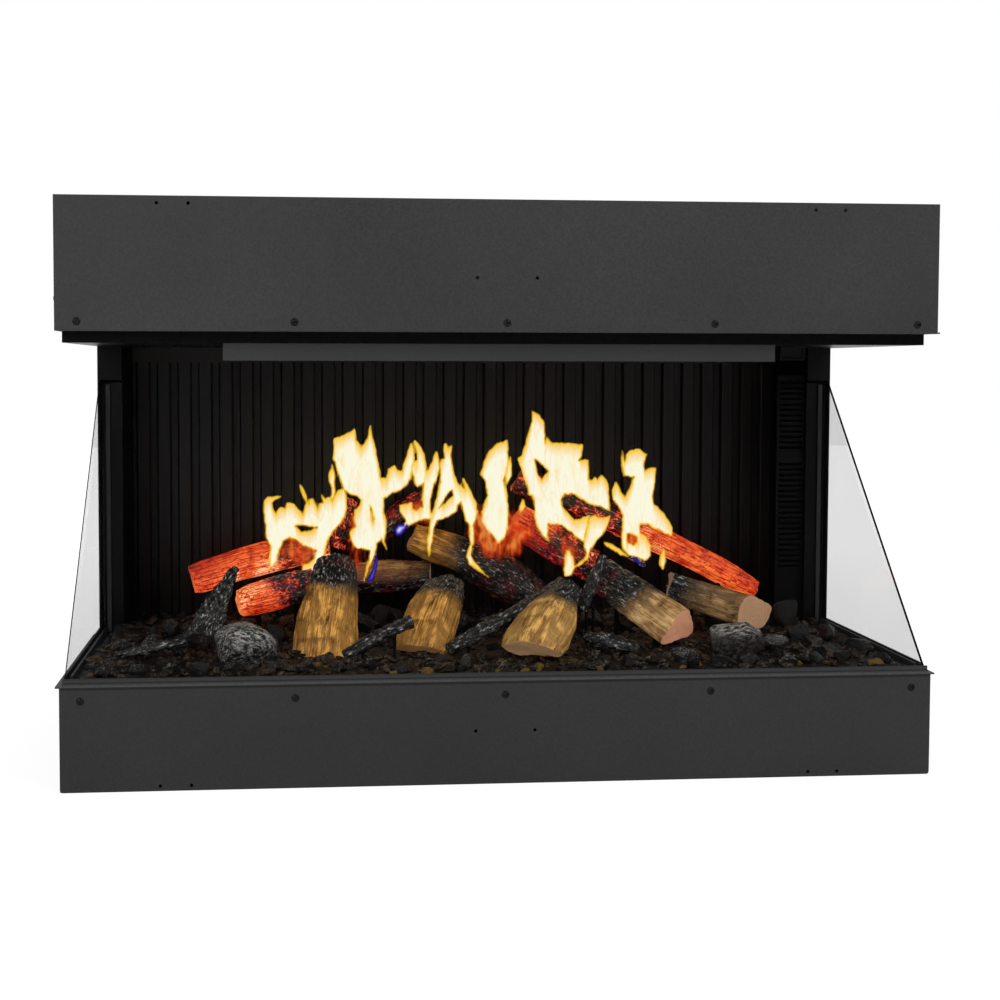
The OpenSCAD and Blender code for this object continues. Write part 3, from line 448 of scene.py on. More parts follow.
def ribTree(values):
    tree, add, given = startTree("flutedWall", values)
    outline = add("GeometryNodeCurvePrimitiveQuadrilateral", {
        "Bottom Width": given["Face Width"], "Top Width": given["Foot Width"],
        "Height": given["Depth"], "Offset": 0.0}, mode="TRAPEZOID")
    soft = add("GeometryNodeFilletCurve", {
        "Curve": outline, "Count": 4, "Radius": given["Edge Radius"]}, mode="POLY")
    foot = add("GeometryNodeFillCurve", {"Curve": soft}, mode="NGONS")
    upward = add("CombineXYZ", {"Z": given["Height"]})
    raised = add("GeometryNodeExtrudeMesh", {
        "Mesh": foot, "Offset": upward, "Offset Scale": 1.0, "Individual": False}, mode="FACES")
    under = add("GeometryNodeFlipFaces", {"Mesh": foot})
    closed = add("GeometryNodeJoinGeometry", {"Geometry": [under, raised]})
    rib = add("GeometryNodeMergeByDistance", {"Geometry": closed, "Distance": 0.01 * mm})
    step = add("CombineXYZ", {"X": given["Pitch"]})
    line = add("GeometryNodeMeshLine", {
        "Count": given["Rib Count"], "Start Location": given["Start"], "Offset": step})
    ribs = add("GeometryNodeInstanceOnPoints", {"Points": line, "Instance": rib})
    plain = add("GeometryNodeRealizeInstances", {"Geometry": ribs})
    joined = add("GeometryNodeJoinGeometry", {"Geometry": [plain, given["Geometry"]]})
    painted = add("GeometryNodeSetMaterial", {"Geometry": joined, "Material": given["Material"]})
    add("NodeGroupOutput", {0: painted})
    return tree


def addBoxes(name, boxes, material):
    # closed boxes given by two corners each, as one mesh
    points, faces = [], []
    sides = [(0, 1, 3, 2), (4, 6, 7, 5), (0, 4, 5, 1), (2, 3, 7, 6), (0, 2, 6, 4), (1, 5, 7, 3)]
    for box in boxes:
        faces += [tuple(len(points) + i for i in side) for side in sides]
        points += [(x, y, z) for x, y, z in product(*zip(*box))]
    return addMesh(name, points, faces, material, smooth=False)


halfWall = wall["width"] / 2
pitch = wall["width"] / wall["ribs"]
backPlate = (place(-halfWall, wall["v"] + wall["depth"], wall["low"]),
             place(halfWall, wall["v"] + wall["depth"] + wall["sheet"], wall["flutesTop"]))
plainBand = (place(-halfWall, wall["v"] - wall["bandProud"], wall["flutesTop"]),
             place(halfWall, wall["v"] + wall["depth"] + wall["sheet"], wall["top"]))
ribValues = {
    "Rib Count": wall["ribs"], "Pitch": pitch * mm,
    "Start": place(-halfWall + pitch / 2, wall["v"] + wall["depth"] / 2 + wall["overlap"] / 2, wall["low"]),
    "Face Width": wall["face"] * mm, "Foot Width": wall["foot"] * mm,
    "Depth": (wall["depth"] + wall["overlap"]) * mm, "Edge Radius": wall["edge"] * mm,
    "Height": (wall["flutesTop"] - wall["low"]) * mm, "Material": wallCoat}
flutedWall = addBoxes("fluted_wall", [backPlate, plainBand], wallCoat)
runTree(flutedWall, ribTree(ribValues), ribValues)
dress(flutedWall, "black_coat", "rear_wall")
print("fluted wall done")


# Cast logs

def castLog(name, pale, mid, dark, end="#b58a62", glow="#ff5a24", power=1.0):
    # fibre cement cast in a wood mould and painted: streaks run along the log, burnt places turn to
    # cracked char with ash in it, and lit places shine through the cast
    material, add = startMaterial(name)
    grain = add("Attribute", attribute_name="grain").outputs["Vector"]
    burn = add("Attribute", attribute_name="burn").outputs["Fac"]
    # not named heat: Cycles keeps that name for smoke
    heat = add("Attribute", attribute_name="ember").outputs["Fac"]
    cut = add("Attribute", attribute_name="cut").outputs["Fac"]

    # fibres 1.5 mm apart and 70 mm long, darker lines between bundles of them, and weathered patches
    drawn = add("Mapping", {"Vector": grain, "Scale": (20, 700, 700)})
    fibre = add("TexNoise", {
        "Vector": drawn, "Scale": 1.0, "Detail": 4.0, "Roughness": 0.65, "Distortion": 0.8})
    blotch = add("TexNoise", {
        "Vector": grain, "Scale": 1 / 0.019, "Detail": 6.0, "Roughness": 0.6, "Distortion": 0.4})
    mixedGrain = add("MixRGB", [0.55, fibre, blotch])
    wood = add("ValToRGB", {"Fac": mixedGrain}, stops=[
        (0.38, dark), (0.44, mid), (0.50, pale), (0.58, pale, 1.5)])
    bundles = add("Mapping", {"Vector": grain, "Scale": (12, 290, 290)})
    furrow = add("TexNoise", {"Vector": bundles, "Scale": 1.0, "Detail": 5.0, "Distortion": 1.2})
    line = add("MapRange", [furrow, 0.38, 0.45, 0.6, 0.0])
    wood = add("MixRGB", [line, wood, linear(dark, 0.8)])
    # brown glaze was wiped over it and lies in long smears
    wiped = add("Mapping", {"Vector": grain, "Scale": (14, 60, 60)})
    smear = add("TexNoise", {"Vector": wiped, "Scale": 1.0, "Detail": 4.0, "Distortion": 1.5})
    glaze = add("MapRange", [smear, 0.44, 0.6, 0.0, 0.75])
    wood = add("MixRGB", [glaze, wood, linear(mid, 0.62)])
    # the broken ends are paler, with faint growth rings 2 mm apart
    split = add("SeparateXYZ", {"Vector": grain})
    flat = add("CombineXYZ", {"X": split.outputs["Y"], "Y": split.outputs["Z"]})
    rings = add("TexWave", {
        "Vector": flat, "Scale": 75.0, "Distortion": 7.0, "Detail": 3.0, "Detail Scale": 1.2},
        wave_type="RINGS", rings_direction="Z")
    sawn = add("ValToRGB", {"Fac": rings.outputs["Fac"]}, stops=[
        (0.1, end, 0.92), (0.6, end), (0.95, end, 1.03)])
    body = add("MixRGB", [cut, wood, sawn])

    # char breaks into blocks of 5 to 12 mm, with ash on their edges
    warp = add("TexNoise", {"Vector": grain, "Scale": 1 / 0.012, "Detail": 3.0})
    shifted = add("VectorMath", [warp.outputs["Color"], (0.016, 0.016, 0.016), grain],
        operation="MULTIPLY_ADD")
    blocks = add("Mapping", {"Vector": shifted, "Scale": (75, 170, 170)})
    crack = add("TexVoronoi", {"Vector": blocks, "Scale": 1.0}, feature="DISTANCE_TO_EDGE")
    streaks = add("Mapping", {"Vector": grain, "Scale": (150, 430, 430)})
    grit = add("TexNoise", {"Vector": streaks, "Scale": 1.0, "Detail": 5.0, "Roughness": 0.7})
    char = add("ValToRGB", {"Fac": grit}, stops=[
        (0.43, "#050505"), (0.52, "#171614"), (0.575, "#4c4945"), (0.63, "#aeaaa2"), (0.7, "#ece8df")])
    ragged = add("Math", [grit, -0.5])
    edge = add("Math", [ragged, 0.9, burn], operation="MULTIPLY_ADD")
    burnt = add("MapRange", [edge, 0.42, 0.58])
    scorch = add("MapRange", [edge, 0.08, 0.5, 0.0, 0.85])
    scorched = add("MixRGB", [scorch, body, "#1d0f07"])
    tone = add("MixRGB", [burnt, scorched, char])

    # where it glows: smooth light in sound wood, and in char bright cracks where patches of it still burn
    veins = add("MapRange", [crack, 0.02, 0.12, 0.85, 0.2])
    alive = add("MapRange", [blotch, 0.46, 0.62, 0.04, 1.0])
    embers = add("Math", [veins, alive], operation="MULTIPLY")
    even = add("MapRange", [fibre, 0.38, 0.56, 0.3, 1.0])
    dry = add("MapRange", [crack, 0.01, 0.06, 0.4, 1.0])
    even = add("Math", [even, dry], operation="MULTIPLY")
    pattern = add("MixRGB", [burnt, even, embers])
    patchy = add("MapRange", [blotch, 0.35, 0.55, 0.7, 1.1])
    lit = add("Math", [pattern, patchy], operation="MULTIPLY")
    amount = add("Math", [lit, heat], operation="MULTIPLY")
    shine = add("ValToRGB", {"Fac": amount}, stops=[
        (0.0, 0), (0.16, "#4e060a"), (0.36, "#b8140c"), (0.58, glow), (0.8, "#fb7c34"), (1.0, "#ffd29a")])

    depth = add("MixRGB", [burnt, fibre, grit])
    bump = add("Bump", {"Height": depth, "Strength": 0.7, "Distance": 1.6 * mm})
    gloss = add("MapRange", [burnt, 0.0, 1.0, 0.62, 0.42])
    # painted light: the raw end faces glow a little in their own colour, in place of the light of the flames
    # falling on them
    paintedFlameLight = add("Math", [cut, 0.2], operation="MULTIPLY")
    shine = add("MixRGB", [paintedFlameLight, shine, end])
    shader = add("BsdfPrincipled", {
        "Base Color": tone, "Roughness": gloss, "Normal": bump, "IOR": 1.5, "Emission Color": shine,
        "Emission Strength": power})
    return finishMaterial(material, shader)


def curveValue(stops, t):
    # value at t of a line through (t, value) stops
    for (t0, v0), (t1, v1) in zip(stops, stops[1:]):
        if t <= t1:
            return v0 + (v1 - v0) * clamp((t - t0) / max(1e-6, t1 - t0))
    return stops[-1][1]


casting = {
    # where stubs stand, and how rough their feet and all end faces are, in mm
    "foot": 108.2, "footRough": 0.8, "faceRough": 0.8,
    # size of its relief along and across a log, in metres
    "bark": (0.055, 0.0065), "lumps": (0.05, 0.03), "char": (0.012, 0.009),
    # how far burnt and lit places stray, as a share of the length
    "stray": 0.22, "burnStray": 0.35, "heatStray": 0.3,
    # share of the length that is broken at an end, and how an end is closed
    "broken": 0.12, "capRings": 7, "capWidth": 0.985, "capStep": 0.5,
}


def softLeast(a, b, hardness=14):
    # the lesser of two, rounded where they meet
    return (a ** -hardness + b ** -hardness) ** (-1 / hardness)


def clamp(value):
    return max(0.0, min(1.0, value))


def logShape(log):
    # points, faces and the grain, burn, heat and cut values of one log
    start, end = place(*log["from"]), place(*log["to"])
    length = (end - start).length
    along = (end - start).normalized()
    side = Vector((-along.y, along.x, 0)).normalized()
    up = along.cross(side)
    rings, segments, capRings = log.get("rings", 84), log.get("segments", 72), casting["capRings"]
    seed = Vector((log["seed"] * 1.7, log["seed"] * 0.31, log["seed"] * 0.77))
    halfW, halfH = log["width"] * mm / 2, log["height"] * mm / 2
    bow, bark, lumps, charDepth = (log.get(k, d) * mm for k, d in (
        ("bow", 0), ("bark", 1.3), ("lumps", 2.5), ("charDepth", 1.6)))
    flats = log.get("flats", [])
    size, burn, heat = log.get("size", [(0, 1), (1, 1)]), log["burn"], log.get("heat", [(0, 0), (1, 0)])
    ragged, slant, skew = log.get("ragged", (2, 5)), log.get("slant", 0.0), log.get("skew", 0.0)
    points, faces, grain, values = [], [], [], []

    def outline(theta):
        reach = 1.0
        for direction, distance in flats:
            facing = math.cos(theta - math.radians(direction))
            if facing > 0.05:
                reach = softLeast(reach, distance / facing)
        return reach

    def addPoint(t, s, u, a, cutFace):
        point = start + along * a + up * bow * math.sin(math.pi * t) + side * s + up * u
        # stubs stand on the bed with a rough flat foot
        point.z = max(point.z, casting["foot"] * mm + casting["footRough"] * mm * noise.noise(point * 90))
        points.append(point)
        grain.append((a, s, u))
        spot = Vector((a, s, u)) * 30 + seed
        wander = noise.noise(spot) * casting["stray"]
        burnt = curveValue(burn, clamp(t + wander * casting["burnStray"]))
        burnt += log.get("burnTop", 0) * (u / halfH) + log.get("burnSide", 0) * (s / halfW)
        hot = curveValue(heat, clamp(t + wander * casting["heatStray"]))
        hot += log.get("heatTop", 0) * (u / halfH) * min(1, hot * 4)
        values.append((clamp(burnt), clamp(hot), cutFace))

    def skin(t, theta, shrink, inset, cutFace):
        scale = curveValue(size, t) * shrink
        reach = outline(theta) * scale
        s, u = math.cos(theta) * halfW * reach, math.sin(theta) * halfH * reach
        a = length * t
        roughSpot, lumpSpot, charSpot = (
            Vector((a / long, s / wide, u / wide)) + seed
            for long, wide in (casting["bark"], casting["lumps"], casting["char"]))
        # bark with a finer one on it, on slow lumps, and blocks of char with cracks between them
        swell = bark * noise.noise(roughSpot) + bark * 0.6 * noise.noise(roughSpot * 2.3)
        swell += lumps * noise.noise(lumpSpot)
        burnt = curveValue(burn, t)
        if burnt > 0.3:
            near = noise.voronoi(charSpot)[0]
            swell += charDepth * min(1.0, burnt) * (min(1.0, (near[1] - near[0]) * 3) - 0.75)
        distance = max(1e-6, math.hypot(s, u))
        s, u = s + s / distance * swell * shrink, u + u / distance * swell * shrink
        # the ends are broken, not sawn square, some are cut aslant, and their faces are rough
        for near, amount in ((t, -ragged[0]), (1 - t, ragged[1])):
            if near < casting["broken"]:
                jagged = noise.noise(Vector((s, u, near)) * 60 + seed)
                a += (1 - near / casting["broken"]) * amount * mm * jagged
        a += (skew * s - slant * u) * max(0.0, 1 - t * 3)
        pitted = noise.noise(Vector((s, u, inset)) * 160 + seed)
        a += inset + (pitted * casting["faceRough"] * mm if cutFace else 0)
        addPoint(t, s, u, a, cutFace)

    angles = [2 * math.pi * j / segments for j in range(segments)]
    loops = []

    def addLoop(t, shrink, inset, cutFace):
        first = len(points)
        for theta in angles:
            skin(t, theta, shrink, inset, cutFace)
        loops.append(first)

    # closing rings at the foot end, the skin, and closing rings at the tip end
    for k in range(1, capRings):
        addLoop(0.0, k / capRings, 0, 1.0)
    addLoop(0.0, casting["capWidth"], 0, 1.0)
    for i in range(rings + 1):
        inset = casting["capStep"] * mm * ((i == 0) - (i == rings))
        addLoop(i / rings, 1.0, inset, 0.0)
    addLoop(1.0, casting["capWidth"], 0, 1.0)
    for k in range(capRings - 1, 0, -1):
        addLoop(1.0, k / capRings, 0, 1.0)
    for first, second in zip(loops, loops[1:]):
        for j in range(segments):
            k = (j + 1) % segments
            faces.append((first + j, first + k, second + k, second + j))
    for first, t, order in ((loops[0], 0.0, -1), (loops[-1], 1.0, 1)):
        centre = len(points)
        addPoint(t, 0.0, 0.0, length * t, 1.0)
        for j in range(segments):
            k = (j + 1) % segments
            pair = (first + j, first + k) if order > 0 else (first + k, first + j)
            faces.append((centre,) + pair)
    return points, faces, grain, values


def addLogs(name, logs, material, slotName, *nodes):
    points, faces, grain, values = [], [], [], []
    for log in logs:
        p, f, g, v = logShape(log)
        faces += [tuple(len(points) + i for i in face) for face in f]
        points, grain, values = points + p, grain + g, values + v
    obj = addMesh(name, points, faces, material, sharp=42)
    field = obj.data.attributes.new("grain", "FLOAT_VECTOR", "POINT")
    field.data.foreach_set("vector", [c for g in grain for c in g])
    addFields(obj, ("burn", "ember", "cut"), values)
    return dress(obj, slotName, *nodes)


oakCast = castLog("paintedCastOak", "#f0b050", "#b47626", "#4e2c0c", end="#a9794c")
paleCast = castLog("paintedCastAsh", "#f0bc66", "#bf853a", "#623c14", end="#d0a478")
pinkCast = castLog("paintedCastCherry", "#ecc080", "#c8904e", "#5e3b1c", end="#ffb48e")
brownCast = castLog("paintedCastWalnut", "#cca268", "#94683a", "#442c14", end="#d8a880")
glowCast = castLog("litCastLog", "#b4582c", "#843a1a", "#3c140a", end="#c87a4a", glow="#e4521e", power=0.95)
charCast = castLog("charredCastLog", "#6b5235", "#3d2c1b", "#171008", end="#2a241e")

logs = {
    "log_left_glow": (glowCast, "glowing_log", {
        "from": (-326, 316, 159), "to": (-166, 330, 194), "width": 46, "height": 44, "seed": 1, "bow": 4,
        "flats": [(262, 0.66), (40, 0.82), (140, 0.9)], "size": [(0, 0.9), (0.08, 1), (0.6, 1.0), (1, 0.9)],
        "burn": [(0, 0.12), (0.3, 0.0), (0.5, 0.08), (0.62, 0.5), (0.8, 0.9), (1, 1)],
        "heat": [(0, 0.62), (0.15, 0.7), (0.4, 0.9), (0.7, 1.0), (1, 1.0)],
        "heatTop": -0.3, "ragged": (3, 6)}),
    "log_red_ember": (glowCast, "glowing_log", {
        "from": (-269, 246, 143), "to": (-184, 258, 161), "width": 44, "height": 40, "seed": 2,
        "flats": [(270, 0.7), (30, 0.8), (150, 0.88)], "size": [(0, 0.82), (0.15, 1), (1, 1.0)],
        "burn": [(0, 0.0), (0.2, 0.05), (0.42, 0.4), (0.6, 0.85), (1, 0.9)], "burnTop": 0.1,
        "heat": [(0, 0.95), (0.25, 0.74), (0.6, 0.7), (1, 0.8)], "heatTop": 0.22, "ragged": (5, 4)}),
    "log_stub_left": (oakCast, "brown_log", {
        "from": (-178, 120, 90), "to": (-161, 213, 195), "width": 72, "height": 50, "seed": 3, "bow": 2,
        "flats": [(268, 0.6), (90, 0.9)],
        "size": [(0, 0.97), (0.3, 0.95), (0.6, 0.86), (0.85, 0.76), (1, 0.62)],
        "burn": [(0, 0.05), (0.55, 0.05), (0.68, 0.4), (0.78, 0.85), (1, 1)],
        "heat": [(0, 0), (0.88, 0), (1, 0.42)], "bark": 1.1, "ragged": (1, 7)}),
    "log_stub_mid": (oakCast, "brown_log", {
        "from": (-74, 124, 108), "to": (-38, 205, 170), "width": 62, "height": 46, "seed": 4, "bow": 3,
        "flats": [(268, 0.6), (70, 0.9)],
        "size": [(0, 0.88), (0.2, 1.0), (0.55, 0.95), (0.85, 0.8), (1, 0.66)],
        "burn": [(0, 0.05), (0.5, 0.1), (0.68, 0.4), (0.8, 0.85), (1, 1)], "slant": 0.4,
        "bark": 1.1, "lumps": 4.0, "ragged": (5, 6)}),
    "log_stub_front": (paleCast, "brown_log", {
        "from": (37, 70, 119), "to": (88, 148, 172), "width": 73, "height": 48, "seed": 5, "bow": 3,
        "flats": [(268, 0.6), (55, 0.86), (130, 0.9)], "slant": 0.55,
        "size": [(0, 0.9), (0.12, 0.98), (0.4, 0.9), (0.75, 0.62), (1, 0.46)],
        "burn": [(0, 0.0), (0.5, 0.08), (0.68, 0.4), (0.82, 0.9), (1, 1)],
        "bark": 1.0, "lumps": 3.5, "ragged": (4, 6)}),
    "log_split_cut": (pinkCast, "brown_log", {
        "from": (206, 120, 131), "to": (138, 204, 178), "width": 60, "height": 48, "seed": 6,
        "flats": [(20, 0.66), (150, 0.72), (265, 0.7)], "size": [(0, 0.98), (0.5, 0.96), (1, 0.86)],
        "burn": [(0, 0.0), (0.2, 0.08), (0.4, 0.4), (0.55, 0.8), (1, 1)], "burnSide": -0.3, "burnTop": 0.12,
        "heat": [(0, 0), (0.7, 0), (0.88, 0.3), (1, 0.36)], "bark": 0.8, "ragged": (1.5, 5)}),
    "log_right_brown": (brownCast, "brown_log", {
        "from": (313, 200, 132), "to": (220, 222, 162), "width": 46, "height": 44, "seed": 7, "skew": 0.85,
        "flats": [(100, 0.75), (265, 0.72), (350, 0.85)], "size": [(0, 1.08), (1, 0.94)],
        "burn": [(0, 0.0), (0.5, 0.12), (0.8, 0.5), (1, 0.9)], "bark": 0.9, "ragged": (1.5, 5)}),
    "log_right_glow": (glowCast, "glowing_log", {
        "from": (62, 346, 276), "to": (355, 332, 140), "width": 43, "height": 41, "seed": 8, "bow": 6,
        "flats": [(80, 0.84), (250, 0.72), (350, 0.9)], "rings": 150,
        "size": [(0, 0.96), (0.5, 0.97), (0.9, 0.8), (1, 0.62)],
        "burn": [(0, 1), (0.3, 0.95), (0.45, 0.6), (0.58, 0.15), (0.94, 0.0), (1, 0.12)],
        "heat": [(0, 0.9), (0.45, 0.95), (0.62, 0.74), (0.9, 0.7), (1, 0.62)],
        "heatTop": -0.12, "ragged": (9, 2)}),
    "log_back_red": (glowCast, "glowing_log", {
        "from": (150, 320, 174), "to": (57, 323, 228), "width": 43, "height": 50, "seed": 9,
        "flats": [(110, 0.8), (255, 0.75)], "size": [(0, 0.9), (1, 0.95)],
        "burn": [(0, 0.9), (0.4, 0.66), (0.7, 0.45), (1, 0.2)],
        "heat": [(0, 0.9), (0.4, 0.66), (0.7, 0.52), (1, 0.6)], "heatTop": 0.3, "ragged": (6, 6)}),
    "log_back_brown": (oakCast, "brown_log", {
        "from": (84, 314, 134), "to": (-67, 322, 209), "width": 44, "height": 46, "seed": 10, "bow": 5,
        "flats": [(75, 0.85), (262, 0.75)],
        "size": [(0, 1.05), (0.3, 1.3), (0.5, 1.25), (0.7, 0.98), (1, 0.84)],
        "burn": [(0, 1), (0.56, 0.95), (0.66, 0.5), (0.76, 0.15), (1, 0.05)],
        "heat": [(0, 0.1), (0.3, 0.14), (0.5, 0.06), (0.62, 0), (1, 0)], "lumps": 5.0, "ragged": (7, 4)}),
    "log_back_char": (brownCast, "brown_log", {
        "from": (-142, 342, 156), "to": (-46, 348, 158), "width": 45, "height": 45, "seed": 11,
        "flats": [(265, 0.75)], "size": [(0, 0.92), (0.5, 1), (1, 0.9)],
        "burn": [(0, 0.6), (0.35, 0.5), (0.6, 0.45), (1, 0.6)], "burnTop": -0.55,
        "heat": [(0, 0.3), (0.3, 0.1), (1, 0)], "ragged": (5, 5)}),
}
for name, (material, slotName, log) in logs.items():
    addLogs(name, [log], material, slotName, name)
addLogs("log_back_embers", [
    {"from": (-154, 383, 191), "to": (-138, 383, 249), "width": 36, "height": 30, "seed": 12,
     "size": [(0, 0.9), (0.5, 1), (1, 0.7)], "burn": [(0, 0.9), (1, 1)],
     "heat": [(0, 0.95), (0.5, 1), (1, 0.75)], "ragged": (4, 8)},
    {"from": (-104, 381, 205), "to": (-48, 381, 250), "width": 34, "height": 30, "seed": 13, "bow": 3,
     "size": [(0, 0.85), (0.5, 1), (1, 0.8)], "burn": [(0, 0.9), (1, 1)],
     "heat": [(0, 0.4), (0.5, 0.35), (1, 0.6)], "ragged": (5, 6)},
], glowCast, "glowing_log", "log_back_embers")
charred = {"burn": [(0, 1), (1, 1)], "rings": 70, "segments": 40, "ragged": (4, 4)}
sticks = [
    # the first is a split wedge that stands on its wide end
    {"from": (-307, 140, 123), "to": (-273, 190, 192), "width": 48, "height": 26, "seed": 21,
     "size": [(0, 1.0), (0.3, 0.9), (0.6, 0.62), (0.85, 0.36), (1, 0.16)], "flats": [(40, 0.8), (220, 0.75)],
     "rings": 90, "segments": 56, "lumps": 4.0, "charDepth": 3.0},
    {"from": (-384, 98, 116), "to": (-320, 110, 126), "width": 17, "height": 14, "seed": 22,
     "size": [(0, 0.6), (0.4, 1), (1, 0.85)]},
    {"from": (-154, 82, 115), "to": (-86, 104, 145), "width": 17, "height": 15, "seed": 23, "bow": 2,
     "size": [(0, 0.6), (0.5, 1), (1, 0.85)]},
    {"from": (-46, 82, 120), "to": (90, 184, 172), "width": 19, "height": 18, "seed": 24, "bow": -2,
     "size": [(0, 0.7), (0.5, 1), (1, 0.9)], "rings": 110},
    {"from": (106, 158, 146), "to": (134, 165, 206), "width": 18, "height": 16, "seed": 25,
     "size": [(0, 0.9), (0.5, 1), (1, 0.6)]},
    {"from": (104, 118, 124), "to": (152, 88, 116), "width": 24, "height": 17, "seed": 26,
     "size": [(0, 0.7), (0.35, 1), (1, 0.7)]},
]
addLogs("sticks", [dict(charred, **stick) for stick in sticks], charCast, "coal", "sticks")
print("logs done")


# Bed of ash, crumbs and coals

def ashFinish(name, dark, mid, pale, ash, grain=3.0, gloss=0.55):
    # crushed slag and charcoal with grey ash on what faces up, grain in mm
    material, add = startMaterial(name)
    where = add("TexCoord").outputs["Object"]
    tone = add("Attribute", attribute_name="tone").outputs["Fac"]
    grit = add("TexNoise", {"Vector": where, "Scale": 1 / (grain * mm), "Detail": 5.0, "Roughness": 0.65})
    patch = add("TexNoise", {"Vector": where, "Scale": 1 / (26 * mm), "Detail": 2.0})
    shifted = add("Math", [tone, 0.22, grit], operation="MULTIPLY_ADD")
    base = add("ValToRGB", {"Fac": shifted}, stops=[(0.48, dark), (0.62, mid), (0.78, pale)])
    facing = add("SeparateXYZ", {"Vector": add("NewGeometry").outputs["Normal"]})
    upward = add("MapRange", [facing.outputs["Z"], 0.35, 0.95])
    dusty = add("MapRange", [grit, 0.52, 0.66])
    drift = add("MapRange", [patch, 0.42, 0.62])
    spread = add("Math", [dusty, drift], operation="MULTIPLY")
    settled = add("Math", [spread, upward], operation="MULTIPLY")
    covered = add("Attribute", attribute_name="ash").outputs["Fac"]
    drawn = add("Mapping", {"Vector": where, "Scale": (150, 520, 300), "Rotation": (0.3, 0.5, 0.9)})
    strands = add("TexNoise", {"Vector": drawn, "Scale": 1.0, "Detail": 5.0, "Roughness": 0.7})
    caked = add("MapRange", [strands, 0.47, 0.6])
    thick = add("Math", [caked, covered], operation="MULTIPLY")
    either = add("Math", [settled, thick], operation="MAXIMUM")
    amount = add("Math", [either, 0.9], operation="MULTIPLY")
    colour = add("MixRGB", [amount, base, ash])
    bump = add("Bump", {"Height": grit, "Strength": 0.8, "Distance": 1.4 * mm})
    shader = add("BsdfPrincipled", {
        "Base Color": colour, "Roughness": gloss, "Normal": bump, "IOR": 1.5, "Specular IOR Level": 0.28})
    return finishMaterial(material, shader), add, shader


bedAsh = ashFinish("blackSlagBed", "#070605", "#18130f", "#2c221a", "#4a4640", grain=4.0)[0]
coalCast = ashFinish(
    "castCharcoalLumps", "#050505", "#100e0e", "#25211c", "#c8c4bc", grain=1.6, gloss=0.42)[0]


def crumbFinish():
    # dark slag crumbs, some of them grey ash, and clear amber resin chips along the front lip that
    # the lamps below shine through
    material, add, shader = ashFinish(
        "slagAndAmberCrumbs", "#090807", "#241c16", "#54422f", "#a09a8e", grain=2.0, gloss=0.36)
    tone = add("Attribute", attribute_name="tone").outputs["Fac"]
    where = add("SeparateXYZ", {"Vector": add("TexCoord").outputs["Object"]})
    lip = add("MapRange", [where.outputs["Y"], (70 - halfDepth) * mm, (30 - halfDepth) * mm])
    chance = add("MapRange", [tone, 0.85, 0.9])
    amber = add("Math", [lip, chance], operation="MULTIPLY")
    before = shader.inputs["Base Color"].links[0].from_socket
    colour = add("MixRGB", [amber, before, "#4c3a1c"])
    material.node_tree.links.new(colour.outputs[0], shader.inputs["Base Color"])
    shine = add("MixRGB", [amber, (0, 0, 0, 1), "#64501f"])
    material.node_tree.links.new(shine.outputs[0], shader.inputs["Emission Color"])
    shader.inputs["Emission Strength"].default_value = 0.35
    return material


slagCrumbs = crumbFinish()

bed = {
    # its outline narrows behind the posts
    "front": 12.6, "back": 404.6, "behindPosts": 290.2, "wideX": 421.6, "narrowX": 403.6,
    "low": 102.1, "top": 107.2, "spacing": 4.4,
    # height and width of its waves and of the finer ones on them, and how it falls off to the rim
    "wave": 2.6, "waveWidth": 17, "ripple": 1.6, "rippleWidth": 6.5,
    "fall": 2.0, "frontFall": 8, "sideFall": 6,
    # lower inner edge of the leaning pane (v, z), its angle, and the gap left under it
    "paneFoot": (4.64, 103.5), "paneAngle": 45.17, "paneGap": 1.0,
    # what lies on the bed stays within these, and crumbs are thrown from a little above it
    "lumpFront": 12.8, "lumpBack": 403.4, "lumpPosts": 287, "lumpWide": 423.4, "lumpNarrow": 402.6,
    "lumpLift": 0.3, "throwLift": 1.0,
}


def bedSlope(v):
    # the leaning pane comes down over the front of the bed
    footV, footZ = bed["paneFoot"]
    return footZ + (v - footV) * math.tan(math.radians(bed["paneAngle"])) - bed["paneGap"]


